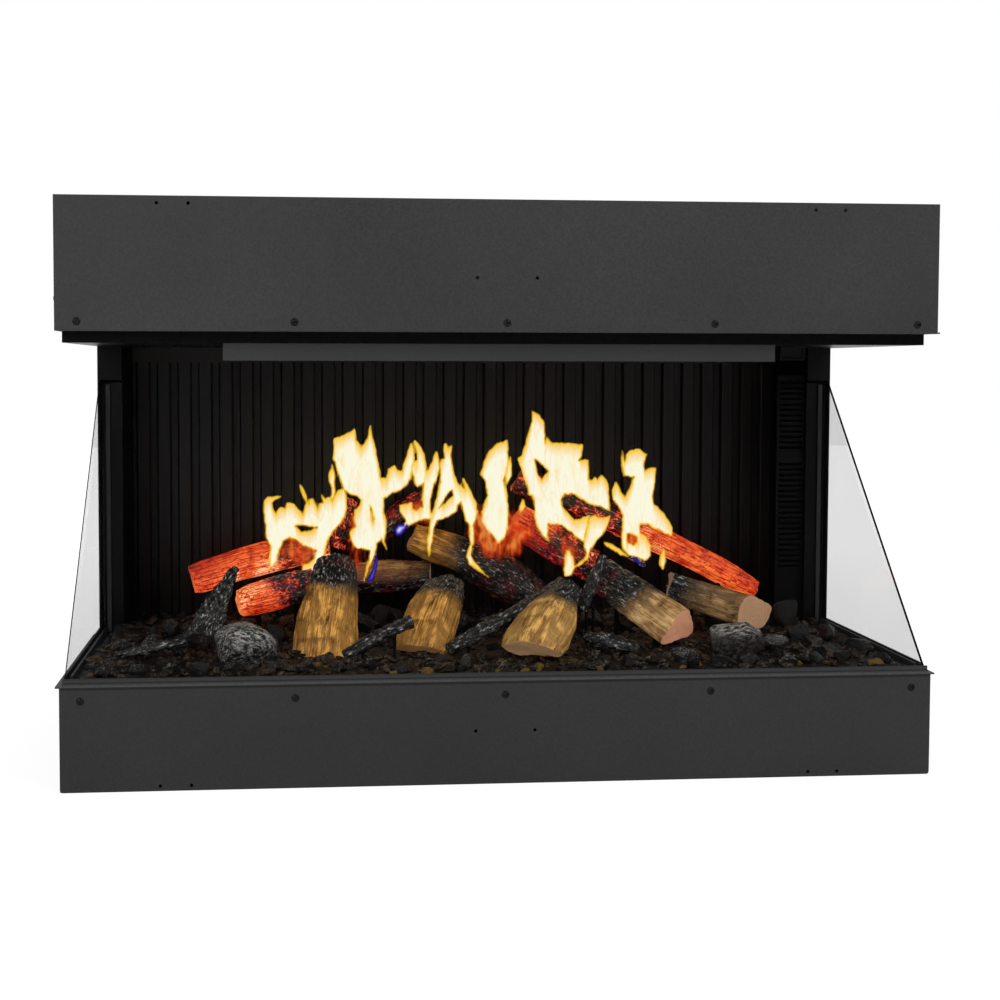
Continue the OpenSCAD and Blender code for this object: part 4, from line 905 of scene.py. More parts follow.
def addBed(name):
    rows = int(round((bed["back"] - bed["front"]) / bed["spacing"])) + 1
    columns = int(round(2 * bed["wideX"] / bed["spacing"])) + 1
    stepV = (bed["back"] - bed["front"]) / (rows - 1)
    across = [-bed["wideX"] + 2 * bed["wideX"] * j / (columns - 1) for j in range(columns)]
    points, faces, used = [], [], {}

    def top(i, j):
        if (i, j) not in used:
            v = bed["front"] + stepV * i
            limit = bed["wideX"] if v < bed["behindPosts"] else bed["narrowX"]
            x = max(-limit, min(limit, across[j]))
            spot = Vector((x, v, 0))
            z = bed["top"] + bed["wave"] * noise.noise(spot / bed["waveWidth"])
            z += bed["ripple"] * noise.noise(spot / bed["rippleWidth"])
            inward = min((bed["back"] - v) / bed["sideFall"], (limit - abs(x)) / bed["sideFall"])
            rim = min(1.0, (v - bed["front"]) / bed["frontFall"], inward)
            z = bed["top"] - bed["fall"] + (z - bed["top"] + bed["fall"]) * max(0.0, rim)
            used[(i, j)] = len(points)
            points.append(place(x, v, min(z, bedSlope(v))))
        return used[(i, j)]

    edge = [j for j in range(columns) if abs(across[j]) <= bed["narrowX"]]
    first, last = min(edge) - 1, max(edge) + 1
    for i in range(rows - 1):
        wide = bed["front"] + stepV * (i + 1) < bed["behindPosts"]
        for j in range(0 if wide else first, columns - 1 if wide else last):
            faces.append((top(i, j), top(i, j + 1), top(i + 1, j + 1), top(i + 1, j)))
    # skirt and flat underside
    sides = {(a, b): True for face in faces for a, b in zip(face, face[1:] + face[:1])}
    border = {a: b for a, b in sides if (b, a) not in sides}
    start = next(iter(border))
    loop, here = [start], border[start]
    while here != start:
        loop.append(here)
        here = border[here]
    low = {a: len(points) + k for k, a in enumerate(loop)}
    points += [Vector((points[a].x, points[a].y, bed["low"] * mm)) for a in loop]
    faces += [(b, a, low[a], low[b]) for a, b in zip(loop, loop[1:] + loop[:1])]
    faces.append(tuple(low[a] for a in reversed(loop)))
    return dress(addMesh(name, points, faces, bedAsh, sharp=60), "ember_resin", "ember_bed")


addBed("ash_bed")

crumbs = {
    "small_crumbs": {"Density": 7200.0, "Least Gap": 7 * mm, "Size": 5.2 * mm, "Flatness": 0.62,
                     "Seed": 11, "Detail": 1},
    "large_crumbs": {"Density": 2600.0, "Least Gap": 15 * mm, "Size": 10.5 * mm, "Flatness": 0.55,
                     "Seed": 29, "Detail": 2},
}


# how many shapes of lump there are, how broken they are, how far they tip, and their least size and width
crumbShapes = {"shapes": 6, "broken": 1.7, "grain": 3.1, "tip": 0.35, "least": 0.34, "slimmest": 0.55}


def crumbTree(name, values):
    # broken lumps thrown on a surface, each turned and sized at random
    tree, add, given = startTree(name, values)
    spots = add("GeometryNodeDistributePointsOnFaces", {
        "Mesh": given["Geometry"], "Distance Min": given["Least Gap"],
        "Density Max": given["Density"], "Seed": given["Seed"]},
        distribute_method="POISSON")
    shapes = []
    for k in range(crumbShapes["shapes"]):
        lump = add("GeometryNodeMeshIcoSphere", {"Radius": 0.5, "Subdivisions": given["Detail"]})
        at = add("GeometryNodeInputPosition")
        wild = add("TexNoise", {
            "Vector": at, "W": 3.7 * k + 1.3, "Scale": crumbShapes["grain"], "Detail": 3.0},
            noise_dimensions="4D")
        centred = add("VectorMath", [wild.outputs["Color"], (-0.5, -0.5, -0.5)])
        pushed = add("VectorMath", {0: centred, "Scale": crumbShapes["broken"]}, operation="SCALE")
        rough = add("GeometryNodeSetPosition", {"Geometry": lump, "Offset": pushed})
        flat = add("GeometryNodeSetShadeSmooth", {"Geometry": rough, "Shade Smooth": False})
        shapes.append(add("GeometryNodeGeometryToInstance", {"Geometry": flat}))
    shapes = add("GeometryNodeGeometryToInstance", {"Geometry": shapes})
    tip = crumbShapes["tip"]
    turn = add("FunctionNodeRandomValue", {0: (-tip, -tip, 0.0), 1: (tip, tip, 6.283), "Seed": 5},
        data_type="FLOAT_VECTOR")
    pick = add("FunctionNodeRandomValue", {2: crumbShapes["least"], 3: 1.0, "Seed": 6}, data_type="FLOAT")
    wide = add("Math", [pick.outputs[1], given["Size"]], operation="MULTIPLY")
    tall = add("Math", [wide, given["Flatness"]], operation="MULTIPLY")
    slim = add("FunctionNodeRandomValue", {2: crumbShapes["slimmest"], 3: 1.0, "Seed": 8}, data_type="FLOAT")
    narrow = add("Math", [wide, slim.outputs[1]], operation="MULTIPLY")
    size = add("CombineXYZ", {"X": wide, "Y": narrow, "Z": tall})
    double = add("VectorMath", {0: size, "Scale": 2.0}, operation="SCALE")
    copies = add("GeometryNodeInstanceOnPoints", {
        "Points": spots.outputs["Points"], "Instance": shapes, "Pick Instance": True, "Rotation": turn,
        "Scale": double})
    tone = add("FunctionNodeRandomValue", {2: 0.0, 3: 1.0, "Seed": 9}, data_type="FLOAT")
    marked = add("GeometryNodeStoreNamedAttribute", {
        "Geometry": copies, "Name": "tone", "Value": tone.outputs[1]}, data_type="FLOAT", domain="INSTANCE")
    real = add("GeometryNodeRealizeInstances", {"Geometry": marked})
    done = add("GeometryNodeSetMaterial", {"Geometry": real, "Material": given["Material"]})
    add("NodeGroupOutput", {"Geometry": done})
    return tree


def keepUnder(obj):
    # points that would reach the pane, a side or a post are pulled back inside
    for vertex in obj.data.vertices:
        x, v, z = vertex.co.x / mm, vertex.co.y / mm + halfDepth, vertex.co.z / mm
        v = max(bed["lumpFront"], min(bed["lumpBack"], v))
        limit = bed["lumpWide"] if v < bed["lumpPosts"] else bed["lumpNarrow"]
        x = max(-limit, min(limit, x))
        vertex.co = place(x, v, max(bed["low"] + bed["lumpLift"], min(z, bedSlope(v))))
    return obj


# the field that crumbs are thrown on, in x and v: wide in front of the posts and narrower behind
crumbField = [
    (-414, 19), (414, 19), (414, 284), (396, 284), (396, 398), (-396, 398), (-396, 284), (-414, 284)]


def addCrumbs(name, values):
    points = [place(x, v, bed["top"] + bed["throwLift"]) for x, v in crumbField]
    obj = addMesh(name, points, [(0, 1, 2, 7), (7, 2, 3, 6), (6, 3, 4, 5)], slagCrumbs)
    values = dict(values, Material=slagCrumbs)
    runTree(obj, crumbTree(name + "Tree", values), values)
    print(name, len(obj.data.polygons))
    return dress(keepUnder(obj), "ember_resin")


for name, values in crumbs.items():
    addCrumbs(name, values)

coals = {
    # lumps are (x, v, radius, height); rows lie along the front and the sides, the heap fills up
    # behind and under the raised logs
    "row": [(-396 + 33 * i, 34 + 9 * (7 * i % 3), 9 + 5 * i % 4, 9 + 3 * i % 5)
            for i in range(25) if i < 12 or i > 14],
    "left": [(-398 + 37 * (i % 3), 172 + 36 * (i // 3), 13 + 3 * i % 4, 12 + 5 * i % 7) for i in range(9)],
    "right": [(358 + 34 * (i % 2), 90 + 44 * (i // 2), 14 + 3 * i % 3, 13 + 5 * i % 7) for i in range(6)],
    "inner": [(-254, 108, 25, 26), (-228, 88, 10, 11), (196, 66, 18, 14), (268, 96, 26, 30),
              (312, 124, 15, 16), (-110, 180, 12, 12), (12, 138, 12, 10), (330, 252, 17, 20),
              (374, 262, 18, 32)],
    "heap": [(-346, 258, 18, 20), (-306, 262, 17, 22), (-256, 205, 15, 20), (-228, 200, 12, 22),
             (-132, 250, 18, 28), (-94, 226, 18, 24), (-90, 262, 14, 26), (-104, 306, 16, 24),
             (-62, 300, 15, 22), (-20, 258, 18, 26), (20, 252, 17, 24), (58, 262, 17, 22),
             (92, 232, 15, 20), (98, 270, 12, 26), (140, 258, 18, 24), (176, 240, 15, 20),
             (206, 262, 16, 24), (246, 268, 17, 22), (286, 268, 16, 24)],
    # the big ones in front are grey with ash
    "ashy": {(-254, 108): 1.1, (268, 96): 0.95, (312, 124): 0.3},
    # how much wider and higher than the casting they have become, and how far along
    "caked": {(-254, 108): (1.34, 1.35, -8), (268, 96): (0.92, 1.25, -7)},
    # flat faces of a lump and how far out they lie, how long it is, its knobs and pits, how high its middle
    # lies and its crown stands as a share of its height, and how much ash its flanks keep
    "cuts": 11, "cutAt": (0.42, 0.8), "cutDepth": 0.96, "long": (1.1, 1.5), "knobs": 0.08, "pits": 0.05,
    "middle": 0.42, "crown": 0.62, "flankAsh": 0.12, "seed": 40,
}


def addCoals(name):
    chance = random.Random(coals["seed"])
    joined = bmesh.new()
    tones = joined.verts.layers.float.new("tone")
    ashes = joined.verts.layers.float.new("ash")
    places = [spot for row in ("row", "left", "right", "inner", "heap") for spot in coals[row]]
    for x, v, radius, height in places:
        lump = bmesh.new()
        bmesh.ops.create_icosphere(lump, subdivisions=3, radius=1.0)
        ashy = coals["ashy"].get((x, v), 0.0)
        # broken flat faces, which lie further out on the lumps that are grey with ash
        cuts = []
        for _ in range(coals["cuts"]):
            way = Vector((chance.uniform(-1, 1), chance.uniform(-1, 1), chance.uniform(-0.2, 1)))
            cuts.append((way.normalized(), chance.uniform(*coals["cutAt"]) + ashy * 0.2))
        seed = Vector((x, v, radius)) * 0.37
        turn = Matrix.Rotation(0.2 if ashy else chance.uniform(0, 6.28), 3, "Z")
        long, tone = chance.uniform(*coals["long"]), chance.random()
        wider, higher, along = coals["caked"].get((x, v), (1, 1, 0))
        for vertex in lump.verts:
            point = vertex.co.copy()
            for normal, distance in cuts:
                beyond = point.dot(normal) - distance
                if beyond > 0:
                    point -= normal * beyond * coals["cutDepth"]
            swell = coals["knobs"] * noise.noise(point * 3.1 + seed)
            swell += coals["pits"] * noise.noise(point * 8 + seed)
            point += point.normalized() * swell
            point = turn @ Vector((point.x * long, point.y * 0.9, point.z * 1.1))
            # lumps are sunk in the bed a little, so their underside is never seen
            vertex.co = place(
                x + along + point.x * radius * wider * 0.98, v + point.y * radius * wider * 0.98,
                bed["top"] + height * higher * (coals["middle"] + coals["crown"] * point.z))
        first = len(joined.verts)
        made = [joined.verts.new(vertex.co) for vertex in lump.verts]
        crown = place(x, v, bed["top"] + height * higher * coals["crown"]).z
        for vertex in made:
            vertex[tones] = tone
            # ash lies on the crown and hardly on the flanks
            level = max(coals["flankAsh"], min(1.0, (vertex.co.z - crown) / (5 * mm) + 0.5))
            vertex[ashes] = ashy * (level if x > 0 else max(0.6, level))
        for face in lump.faces:
            joined.faces.new([made[vertex.index] for vertex in face.verts])
        lump.free()
    mesh = bpy.data.meshes.new(name)
    joined.to_mesh(mesh)
    joined.free()
    mesh.materials.append(coalCast)
    mesh.polygons.foreach_set("use_smooth", [True] * len(mesh.polygons))
    mesh.set_sharp_from_angle(angle=math.radians(24))
    return dress(keepUnder(addObject(name, mesh)), "coal", "coals")


addCoals("coal_lumps")
print("bed done")


# Flame image, as tongues of light in one upright sheet

def flameLight():
    # the image is light and nothing else: white-yellow inside, orange and red at the thin edges
    material, add = startMaterial("projectedFlame")
    body = add("Attribute", attribute_name="body").outputs["Fac"]
    rise = add("Attribute", attribute_name="rise").outputs["Fac"]
    cold = add("Attribute", attribute_name="cold").outputs["Fac"]
    where = add("TexCoord").outputs["Object"]
    licks = add("Mapping", {"Vector": where, "Scale": (1.0, 0.2, 0.28)})
    wisps = add("TexNoise", {"Vector": licks, "Scale": 1 / (9 * mm), "Detail": 3.0, "Distortion": 0.5})
    centred = add("Math", [wisps, -0.5])
    shifted = add("Math", [centred, 0.9, body], operation="MULTIPLY_ADD")
    inward = add("MapRange", [shifted, -0.3, 0.9])
    warm = add("ValToRGB", {"Fac": inward}, stops=[
        (0.0, "#7a0e04"), (0.16, "#d8480a"), (0.25, "#ff9a1c"), (0.31, "#ffd35c"), (0.4, "#fff0ac"),
        (0.62, "#fffce2")])
    # yellow hangs below the upper edges, and the white under it is never quite even
    near = add("MapRange", [shifted, 0.3, 6.0, 1.0, 0.2])
    hanging = add("Math", [rise, 0.85], operation="POWER")
    yellow = add("Math", [hanging, near], operation="MULTIPLY")
    golden = add("MixRGB", [yellow, warm, "#ffc832"])
    drift = add("MapRange", [wisps, 0.52, 0.74, 0.0, 0.35])
    golden = add("MixRGB", [drift, golden, "#ffe070"])
    # tongues lie one over another, and the edge of each shows in the light of the next
    upright = add("Mapping", {"Vector": where, "Scale": (1.0, 0.2, 0.2)})
    folds = add("TexNoise", {"Vector": upright, "Scale": 1 / (11 * mm), "Detail": 1.5, "Distortion": 0.9})
    apart = add("Math", [folds, -0.5])
    apart = add("Math", [apart], operation="ABSOLUTE")
    ridge = add("MapRange", [apart, 0.0, 0.025, 0.3, 0.0])
    golden = add("MixRGB", [ridge, golden, "#ffc060"])
    chill = add("ValToRGB", {"Fac": inward}, stops=[
        (0.1, "#0c083c"), (0.4, "#2a2090"), (0.62, "#6e62dc"), (0.9, "#dcd6ff")])
    violet = add("MixRGB", [cold, golden, chill])
    # cold is under 0 in the haze, which is red light that hardly hides anything
    hazy = add("MapRange", [cold, -0.6, 0.0, 1.0, 0.0])
    dusk = add("ValToRGB", {"Fac": inward}, stops=[(0.05, "#8e0c06"), (0.3, "#e8501a"), (0.45, "#ff9440")])
    violet = add("MixRGB", [hazy, violet, dusk])
    glow = add("Emission", {"Color": violet, "Strength": 1.0})
    clear = add("BsdfTransparent")
    solid = add("MapRange", [shifted, -0.3, 0.25], interpolation_type="SMOOTHSTEP")
    weak = add("MapRange", [hazy, 0.0, 1.0, 1.0, 0.5])
    solid = add("Math", [solid, weak], operation="MULTIPLY")
    shader = add("MixShader", [solid, clear, glow])
    return finishMaterial(material, shader)


flameImage = flameLight()

flames = {
    "depth": 283, "thickness": 4.0, "thin": 0.2, "billow": 1.5, "step": 1.6, "deep": 6.0, "sway": 5.5,
    "tipFade": 16, "rim": -0.3, "spanX": (-246, 244), "spanZ": (158, 366),
    # the haze: how deep it gets, how slowly, and how uneven it is
    "faint": 0.06, "hazeSlope": 0.16, "hazeNoise": 0.12,
    # outlines of the flames in x and z
    "tongues": [
        [(-242, 250), (-241, 257), (-236, 261), (-222, 262), (-230, 259), (-234, 255), (-232, 248),
         (-228, 242), (-224, 248), (-217, 248), (-216, 255), (-208, 252), (-202, 245), (-197, 240),
         (-195, 246), (-193, 254), (-197, 264), (-200, 274), (-196, 268), (-192, 256), (-190, 252),
         (-190, 258), (-186, 259), (-183, 252), (-180, 246), (-178, 253), (-174, 255), (-175, 264),
         (-171, 259), (-166, 261), (-163, 254), (-160, 262), (-156, 268), (-150, 271), (-147, 262),
         (-147, 250), (-149, 238), (-153, 230), (-160, 224), (-167, 215), (-171, 202), (-174, 190),
         (-181, 180), (-185, 170), (-190, 173), (-198, 175), (-197, 182), (-190, 183), (-184, 190),
         (-182, 199), (-190, 203), (-198, 206), (-204, 211), (-212, 214), (-220, 210), (-225, 200),
         (-228, 186), (-236, 177), (-236, 190), (-234, 204), (-240, 213), (-240, 230)],
        [(-163, 298), (-166, 288), (-166, 279), (-163, 272), (-164, 263), (-168, 257), (-163, 259),
         (-160, 267), (-161, 277), (-161, 289)],
        [(-160, 328), (-150, 332), (-138, 339), (-136, 327), (-130, 317), (-125, 323), (-121, 332),
         (-119, 343), (-117, 330), (-113, 316), (-110, 300), (-107, 282), (-100, 281), (-100, 268),
         (-104, 260), (-104, 242), (-100, 232), (-101, 220), (-103, 210), (-100, 199), (-106, 212),
         (-111, 206), (-114, 192), (-119, 180), (-126, 163), (-124, 175), (-121, 188), (-120, 198),
         (-126, 200), (-134, 199), (-138, 203), (-142, 212), (-143, 220), (-136, 226), (-138, 236),
         (-136, 246), (-130, 251), (-128, 258), (-134, 262), (-142, 264), (-150, 270), (-153, 280),
         (-157, 292), (-161, 304), (-160, 316)],
        [(-108, 283), (-99, 281), (-97, 292), (-91, 297), (-87, 291), (-81, 290), (-79, 302), (-75, 315),
         (-71, 322), (-69, 316), (-69, 303), (-71, 292), (-73, 282), (-76, 275), (-84, 268), (-92, 266),
         (-100, 261), (-106, 258)],
        [(-67, 325), (-61, 319), (-57, 310), (-55, 300), (-54, 288), (-56, 278), (-63, 272), (-67, 276),
         (-68, 284), (-71, 292), (-69, 302), (-66, 299), (-63, 303), (-63, 312)],
        [(-56, 288), (-50, 292), (-45, 306), (-42, 313), (-39, 304), (-38, 296), (-40, 288), (-43, 278),
         (-46, 268), (-49, 256), (-50, 247), (-48, 240), (-56, 240), (-58, 252), (-57, 268)],
        [(-38, 299), (-36, 305), (-33, 305), (-33, 316), (-31, 322), (-28, 316), (-24, 320), (-25, 308),
         (-23, 296), (-22, 286), (-18, 278), (-12, 271), (-7, 268), (-10, 281), (-5, 273), (0, 263),
         (5, 252), (6, 242), (4, 232), (0, 224), (-7, 232), (-10, 243), (-13, 255), (-17, 250),
         (-18, 243), (-26, 238), (-34, 234), (-41, 232), (-44, 224), (-46, 212), (-48, 200), (-50, 191),
         (-52, 205), (-50, 222), (-49, 233), (-46, 242), (-44, 252), (-40, 264), (-38, 276), (-37, 288)],
        [(-85, 251), (-76, 252), (-71, 254), (-70, 246), (-65, 243), (-59, 249), (-52, 247), (-48, 241),
         (-40, 243), (-30, 248), (-18, 254), (-18, 247), (-30, 240), (-45, 236), (-60, 234), (-72, 229),
         (-81, 226), (-77, 231), (-80, 238), (-84, 244)],
        [(-2, 226), (2, 226), (2, 210), (1, 198), (-1, 192), (2, 185), (10, 176), (20, 165), (8, 174),
         (-2, 182), (-7, 190), (-5, 197), (-2, 204), (-2, 214)],
        [(41, 326), (30, 322), (21, 314), (15, 303), (13, 295), (10, 287), (15, 280), (18, 268),
         (19, 262), (15, 252), (12, 242), (13, 232), (19, 222), (26, 213), (32, 206), (37, 212),
         (41, 216), (42, 232), (43, 248), (41, 264), (38, 278), (40, 290), (42, 306), (42, 318)],
        [(45, 307), (42, 298), (40, 286), (41, 276), (46, 284), (46, 298)],
        [(71, 361), (79, 355), (86, 347), (86, 322), (88, 329), (94, 323), (112, 322), (130, 320),
         (130, 309), (126, 302), (138, 303), (138, 290), (138, 280), (142, 278), (146, 282), (149, 279),
         (153, 286), (158, 280), (162, 268), (164, 243), (152, 248), (142, 251), (132, 257), (122, 263),
         (110, 264), (106, 256), (108, 248), (114, 240), (122, 231), (132, 234), (139, 237), (136, 224),
         (133, 206), (124, 213), (112, 222), (102, 228), (90, 228), (90, 214), (92, 206), (84, 214),
         (78, 226), (75, 236), (74, 250), (72, 262), (67, 262), (65, 276), (61, 290), (55, 304),
         (60, 309), (64, 322), (67, 336), (70, 348)],
        [(164, 236), (158, 234), (150, 235), (144, 236), (140, 232), (137, 222), (134, 210), (134, 200),
         (137, 192), (132, 184), (123, 177), (132, 180), (138, 186), (141, 196), (146, 206), (154, 214),
         (160, 224)],
        [(113, 196), (111, 186), (110, 174), (111, 167), (118, 168), (122, 176), (120, 186), (117, 194)],
        [(60, 257), (57, 248), (57, 240), (59, 243), (63, 249)],
        [(178, 314), (178, 298), (181, 284), (192, 283), (189, 270), (182, 258), (177, 265), (171, 276),
         (167, 266), (168, 256), (175, 247), (180, 238), (179, 215), (180, 198), (187, 190), (198, 187),
         (207, 184), (213, 189), (213, 202), (207, 211), (200, 215), (199, 228), (210, 227), (222, 221),
         (238, 213), (238, 222), (233, 232), (226, 242), (217, 250), (215, 260), (218, 276), (219, 294),
         (212, 293), (205, 289), (204, 298), (208, 309), (198, 315), (189, 314), (183, 309), (181, 300)],
        [(229, 197), (226, 188), (225, 178), (228, 174), (231, 182), (231, 192)],
        [(158, 205), (168, 202), (178, 196), (186, 188), (178, 191), (168, 197)],
    ],
    "gaps": [
        [(-206, 228), (-199, 221), (-188, 221), (-181, 226), (-190, 228)],
        [(-120, 252), (-117, 247), (-114, 234), (-116, 231), (-119, 241)],
        [(-27, 266), (-23, 268), (-22, 262), (-30, 254), (-38, 248), (-33, 256)],
        [(74, 304), (80, 300), (88, 294), (91, 290), (86, 284), (82, 280), (78, 286), (76, 294)],
        [(184, 216), (190, 216), (198, 212), (199, 206), (193, 201), (187, 203), (184, 208)],
    ],
    # wisps of cold violet flame at the foot
    "cold": [
        [(-92, 222), (-86, 228), (-78, 229), (-72, 232), (-77, 224), (-82, 217), (-88, 215)],
        [(-112, 196), (-115, 182), (-119, 170), (-124, 162), (-117, 162), (-112, 174), (-110, 186)],
        [(186, 188), (196, 187), (206, 178), (198, 180)],
    ],
    # thin red light round the feet of the flames
    "haze": [
        [(-228, 214), (-206, 226), (-180, 222), (-168, 204), (-176, 184), (-196, 172), (-218, 178),
         (-230, 194)],
        [(-150, 240), (-136, 250), (-126, 232), (-118, 204), (-126, 178), (-142, 176), (-152, 200)],
        [(100, 214), (112, 222), (128, 206), (132, 184), (122, 166), (106, 168), (102, 190)],
        [(174, 224), (192, 226), (212, 210), (218, 190), (200, 180), (180, 186)],
        [(-84, 250), (-66, 262), (-40, 246), (-24, 232), (-46, 222), (-74, 226)],
        [(-10, 244), (20, 254), (58, 250), (76, 220), (62, 190), (34, 180), (8, 190), (-10, 212)],
    ],
}


def edgeDistance(outline, x, z):
    # distance from an outline, over 0 inside it
    nearest, inside = 1e9, False
    for (x0, z0), (x1, z1) in zip(outline, outline[1:] + outline[:1]):
        dx, dz = x1 - x0, z1 - z0
        t = clamp(((x - x0) * dx + (z - z0) * dz) / (dx * dx + dz * dz))
        nearest = min(nearest, (x - x0 - t * dx) ** 2 + (z - z0 - t * dz) ** 2)
        if (z0 > z) != (z1 > z) and x < x0 + (z - z0) * dx / dz:
            inside = not inside
    return math.sqrt(nearest) if inside else -math.sqrt(nearest)


def flameField():
    # how deep each point of the sheet lies inside the flames: over 0 is flame, 1 is well inside
    step, (left, right), (low, high) = flames["step"], flames["spanX"], flames["spanZ"]
    columns, rows = int((right - left) / step) + 1, int((high - low) / step) + 1
    field = [[[-1.0, 0.0, 0.0] for _ in range(columns)] for _ in range(rows)]
    # how cold each kind is, whether it adds or takes away, and how deep it can get
    kinds = {"tongues": (0.0, 1, 9.0), "cold": (1.0, 1, 9.0), "gaps": (0.0, -1, 9.0),
             "haze": (-0.6, 1, flames["faint"])}
    listed = [(outline,) + kinds[kind] for kind in kinds for outline in flames[kind]]
    for outline, cold, sign, most in listed:
        foot, tip = min(z for x, z in outline), max(z for x, z in outline)
        first, last = min(x for x, z in outline), max(x for x, z in outline)
        upward = range(max(0, int((foot - low) / step) - 2), min(rows, int((tip - low) / step) + 4))
        across = range(max(0, int((first - left) / step) - 2), min(columns, int((last - left) / step) + 4))
        for i in upward:
            for j in across:
                x, z = left + step * j, low + step * i
                # edges waver a little, more up and down than sideways
                sway = Vector((x, z, 0)) / flames["sway"]
                moved = x + 0.7 * noise.noise(sway), z + noise.noise(sway * 0.7)
                body = edgeDistance(outline, *moved) / flames["deep"]
                if most < 1:
                    # the haze thins out slowly and unevenly
                    body = min(most, body * flames["hazeSlope"] + flames["rim"])
                    body += flames["hazeNoise"] * noise.noise(sway * 0.8)
                point = field[i][j]
                if sign < 0:
                    point[0] = min(point[0], -body)
                elif body > point[0]:
                    outside = point[0] < flames["rim"] or cold >= 0
                    field[i][j] = [body, 0.0, cold if outside else min(0.0, 2 * point[0])]
    # rise is 1 along the upper edges and falls to 0 a little way below them
    for j in range(columns):
        edge = rows
        for i in reversed(range(rows)):
            edge = i if field[i][j][0] <= 0 else edge
            field[i][j][1] = max(0.0, 1 - (edge - i) * step / flames["tipFade"])
    return field, columns, rows


def addFlames(name):
    step, left, low = flames["step"], flames["spanX"][0], flames["spanZ"][0]
    field, columns, rows = flameField()
    kept = [(i, j) for i in range(rows - 1) for j in range(columns - 1)
            if max(field[a][b][0] for a in (i, i + 1) for b in (j, j + 1)) > flames["rim"]]
    points, faces, values, index = [], [], [], {}

    def corner(i, j):
        if (i, j) in index:
            return index[(i, j)]
        body, rise, chill = field[i][j]
        x, z = left + step * j, low + step * i
        if body < flames["rim"]:
            # slide a point that lies outside back to the rim of the halo
            near = [(field[a][b][0], a, b) for a in range(max(0, i - 1), min(rows, i + 2))
                    for b in range(max(0, j - 1), min(columns, j + 2))]
            most, a, b = max(near)
            if most > flames["rim"]:
                share = (flames["rim"] - body) / (most - body)
                x, z = x + share * step * (b - j), z + share * step * (a - i)
            body = flames["rim"]
        thick = flames["thin"] + (flames["thickness"] / 2 - flames["thin"]) * clamp(body * 2.2)
        depth = flames["depth"] + flames["billow"] * noise.noise(Vector((x, 0, z)) / 30)
        index[(i, j)] = len(points)
        points.extend([place(x, depth - thick, z), place(x, depth + thick, z)])
        values.extend([(body, rise, chill)] * 2)
        return index[(i, j)]

    edges = set()
    for i, j in kept:
        a, b, c, d = corner(i, j), corner(i, j + 1), corner(i + 1, j + 1), corner(i + 1, j)
        faces += [(a, b, c, d), (d + 1, c + 1, b + 1, a + 1)]
        for edge in ((a, b), (b, c), (c, d), (d, a)):
            if edge[::-1] in edges:
                edges.remove(edge[::-1])
            else:
                edges.add(edge)
    faces += [(b, a, a + 1, b + 1) for a, b in sorted(edges)]
    obj = addMesh(name, points, faces, flameImage)
    addFields(obj, ("body", "rise", "cold"), values)
    return dress(obj, "flame_image", "flames")


addFlames("flame_tongues")
print("flames done")


# Stage, lights and camera

studio = {
    # how far the floor reaches and where it fades to white, in metres, its grey, the light of the white,
    # how much of that mirrors show, and its least share
    "reach": 6, "fade": (0.7, 1.9), "grey": 0.85, "light": 1.2, "mirrored": 0.4, "least": 0.74,
    # what mirrors see in front, behind and above, and the even light on all the rest
    "front": 0.12, "back": 0.6, "above": 0.08, "ambient": 0.3,
}


def makeStage():
    reach = studio["reach"]
    material, add = startMaterial("paleFloor")
    lit = add("BsdfDiffuse", {"Color": linear(studio["grey"])})
    white = add("Emission", {"Color": (1, 1, 1, 1), "Strength": studio["light"]})
    path = add("LightPath")
    direct = add("Math", [path.outputs["Is Camera Ray"], path.outputs["Is Transmission Ray"]],
        operation="MAXIMUM")
    mirrored = add("Math", [path.outputs["Is Glossy Ray"], studio["mirrored"]], operation="MULTIPLY")
    seen = add("Math", [direct, mirrored], operation="MAXIMUM")
    # the lit floor, with its shadow, runs out to plain white away from the object
    where = add("TexCoord").outputs["Object"]
    away = add("VectorMath", [where], operation="LENGTH")
    plain = add("MapRange", [away.outputs["Value"], *studio["fade"], studio["least"], 1.0])
    share = add("Math", [seen, plain], operation="MULTIPLY")
    finishMaterial(material, add("MixShader", [share, lit, white]))
    corners = [(-reach, -reach, 0), (reach, -reach, 0), (reach, reach, 0), (-reach, reach, 0)]
    addMesh("floor", corners, [(0, 1, 2, 3)], material, smooth=False)


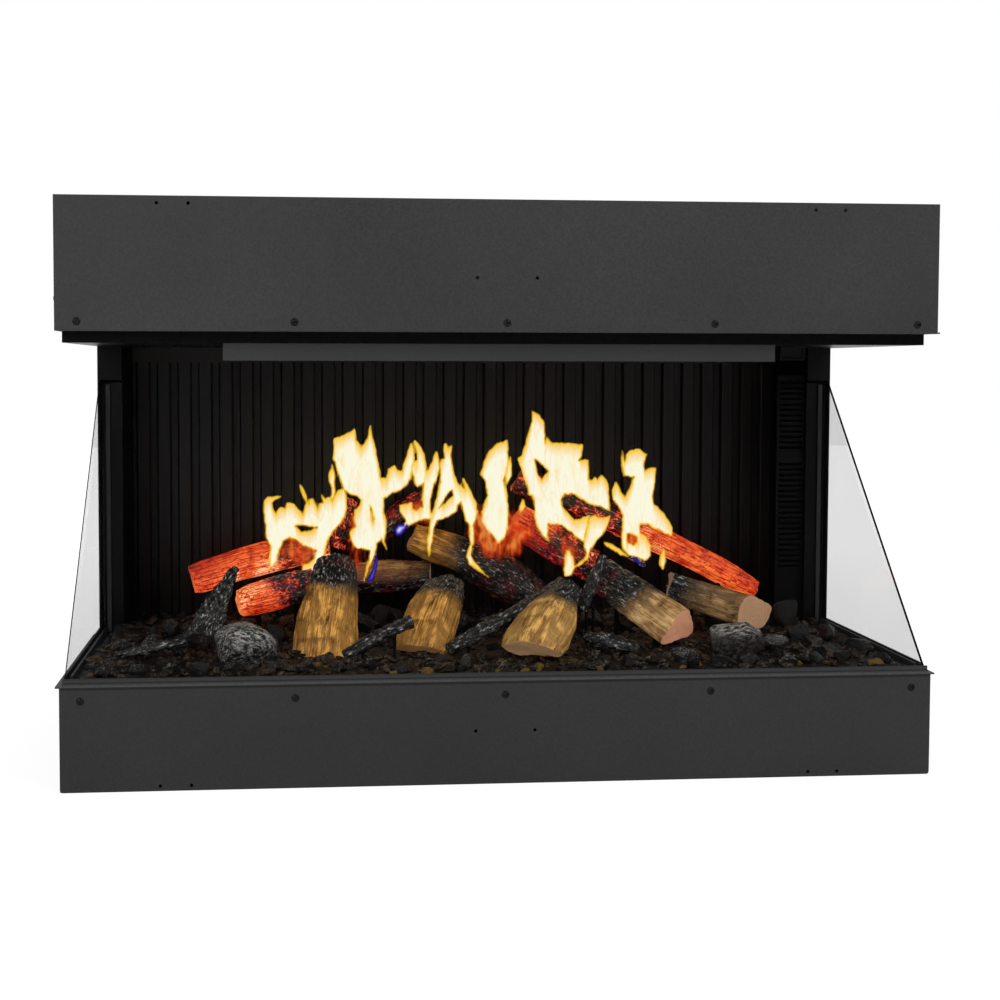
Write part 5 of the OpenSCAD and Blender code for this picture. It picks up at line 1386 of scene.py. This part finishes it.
def makeWorld():
    # white wherever it is looked at, pale in mirrors behind the object, and dim in front of it and above
    world = bpy.data.worlds.new("studio")
    bpy.context.scene.world = world
    world.use_nodes = True
    world.node_tree.nodes.clear()
    add = nodeAdder(world.node_tree)
    path = add("LightPath")
    aim = add("SeparateXYZ", {"Vector": add("TexCoord").outputs["Generated"]})
    behind = add("MapRange", [aim.outputs["Y"], -0.6, 0.5, studio["front"], studio["back"]])
    backdrop = add("MapRange", [aim.outputs["Z"], 0.3, 0.7, behind, studio["above"]])
    mirrored = add("MapRange", [path.outputs["Is Glossy Ray"], 0.0, 1.0, studio["ambient"], backdrop])
    seen = add("Math", [path.outputs["Is Camera Ray"], path.outputs["Is Transmission Ray"]],
        operation="MAXIMUM")
    level = add("MapRange", [seen, 0.0, 1.0, mirrored, 1.0])
    sky = add("Background", {"Color": (1, 1, 1, 1), "Strength": level})
    add("OutputWorld", {"Surface": sky})


# softboxes: where each stands, what it is aimed at, its size in metres and its watts
lamps = {
    "keySoftbox": ((1.3, -1.7, 2.1), (0, 0, 0.35), (1.6, 1.6), 26),
    "fillSoftbox": ((-1.5, -2.2, 1.5), (0, 0, 0.3), (1.6, 1.6), 24),
    "topSoftbox": ((0, 1.3, 2.3), (0, 0, 0.4), (2.0, 1.2), 20),
}


def addLamp(name, spot, target, size, power):
    lamp = bpy.data.lights.new(name, "AREA")
    lamp.shape = "RECTANGLE"
    lamp.size, lamp.size_y = size
    lamp.energy = power
    obj = addObject(name, lamp)
    obj.location = spot
    obj.rotation_euler = (Vector(target) - Vector(spot)).to_track_quat("-Z", "Y").to_euler()


# the photograph's view: 54 mm lens, a little left of the middle, turned 5 degrees to the right
photoView = {
    "lens": 54, "sensor": 36, "shift": (0.0784, -0.06), "at": (-0.21085, -1.66924, 0.41273),
    "yaw": 4.988, "tilt": -2.814, "roll": 0.101,
}


def makeCamera():
    data = bpy.data.cameras.new("photoView")
    data.lens, data.sensor_width = photoView["lens"], photoView["sensor"]
    data.shift_x, data.shift_y = photoView["shift"]
    yaw, tilt, roll = (math.radians(photoView[k]) for k in ("yaw", "tilt", "roll"))
    ahead = Vector((math.sin(yaw) * math.cos(tilt), math.cos(yaw) * math.cos(tilt), math.sin(tilt)))
    right = Vector((math.cos(yaw), -math.sin(yaw), 0))
    up = right.cross(ahead)
    tiltedRight = right * math.cos(roll) + up * math.sin(roll)
    tiltedUp = up * math.cos(roll) - right * math.sin(roll)
    axes = Matrix((tiltedRight, tiltedUp, -ahead)).transposed()
    camera = addObject("photoView", data)
    camera.matrix_world = Matrix.Translation(photoView["at"]) @ axes.to_4x4()
    bpy.context.scene.camera = camera


makeStage()
makeWorld()
for name, values in lamps.items():
    addLamp(name, *values)
makeCamera()
bpy.context.scene.view_settings.view_transform = "Standard"
print("stage done")
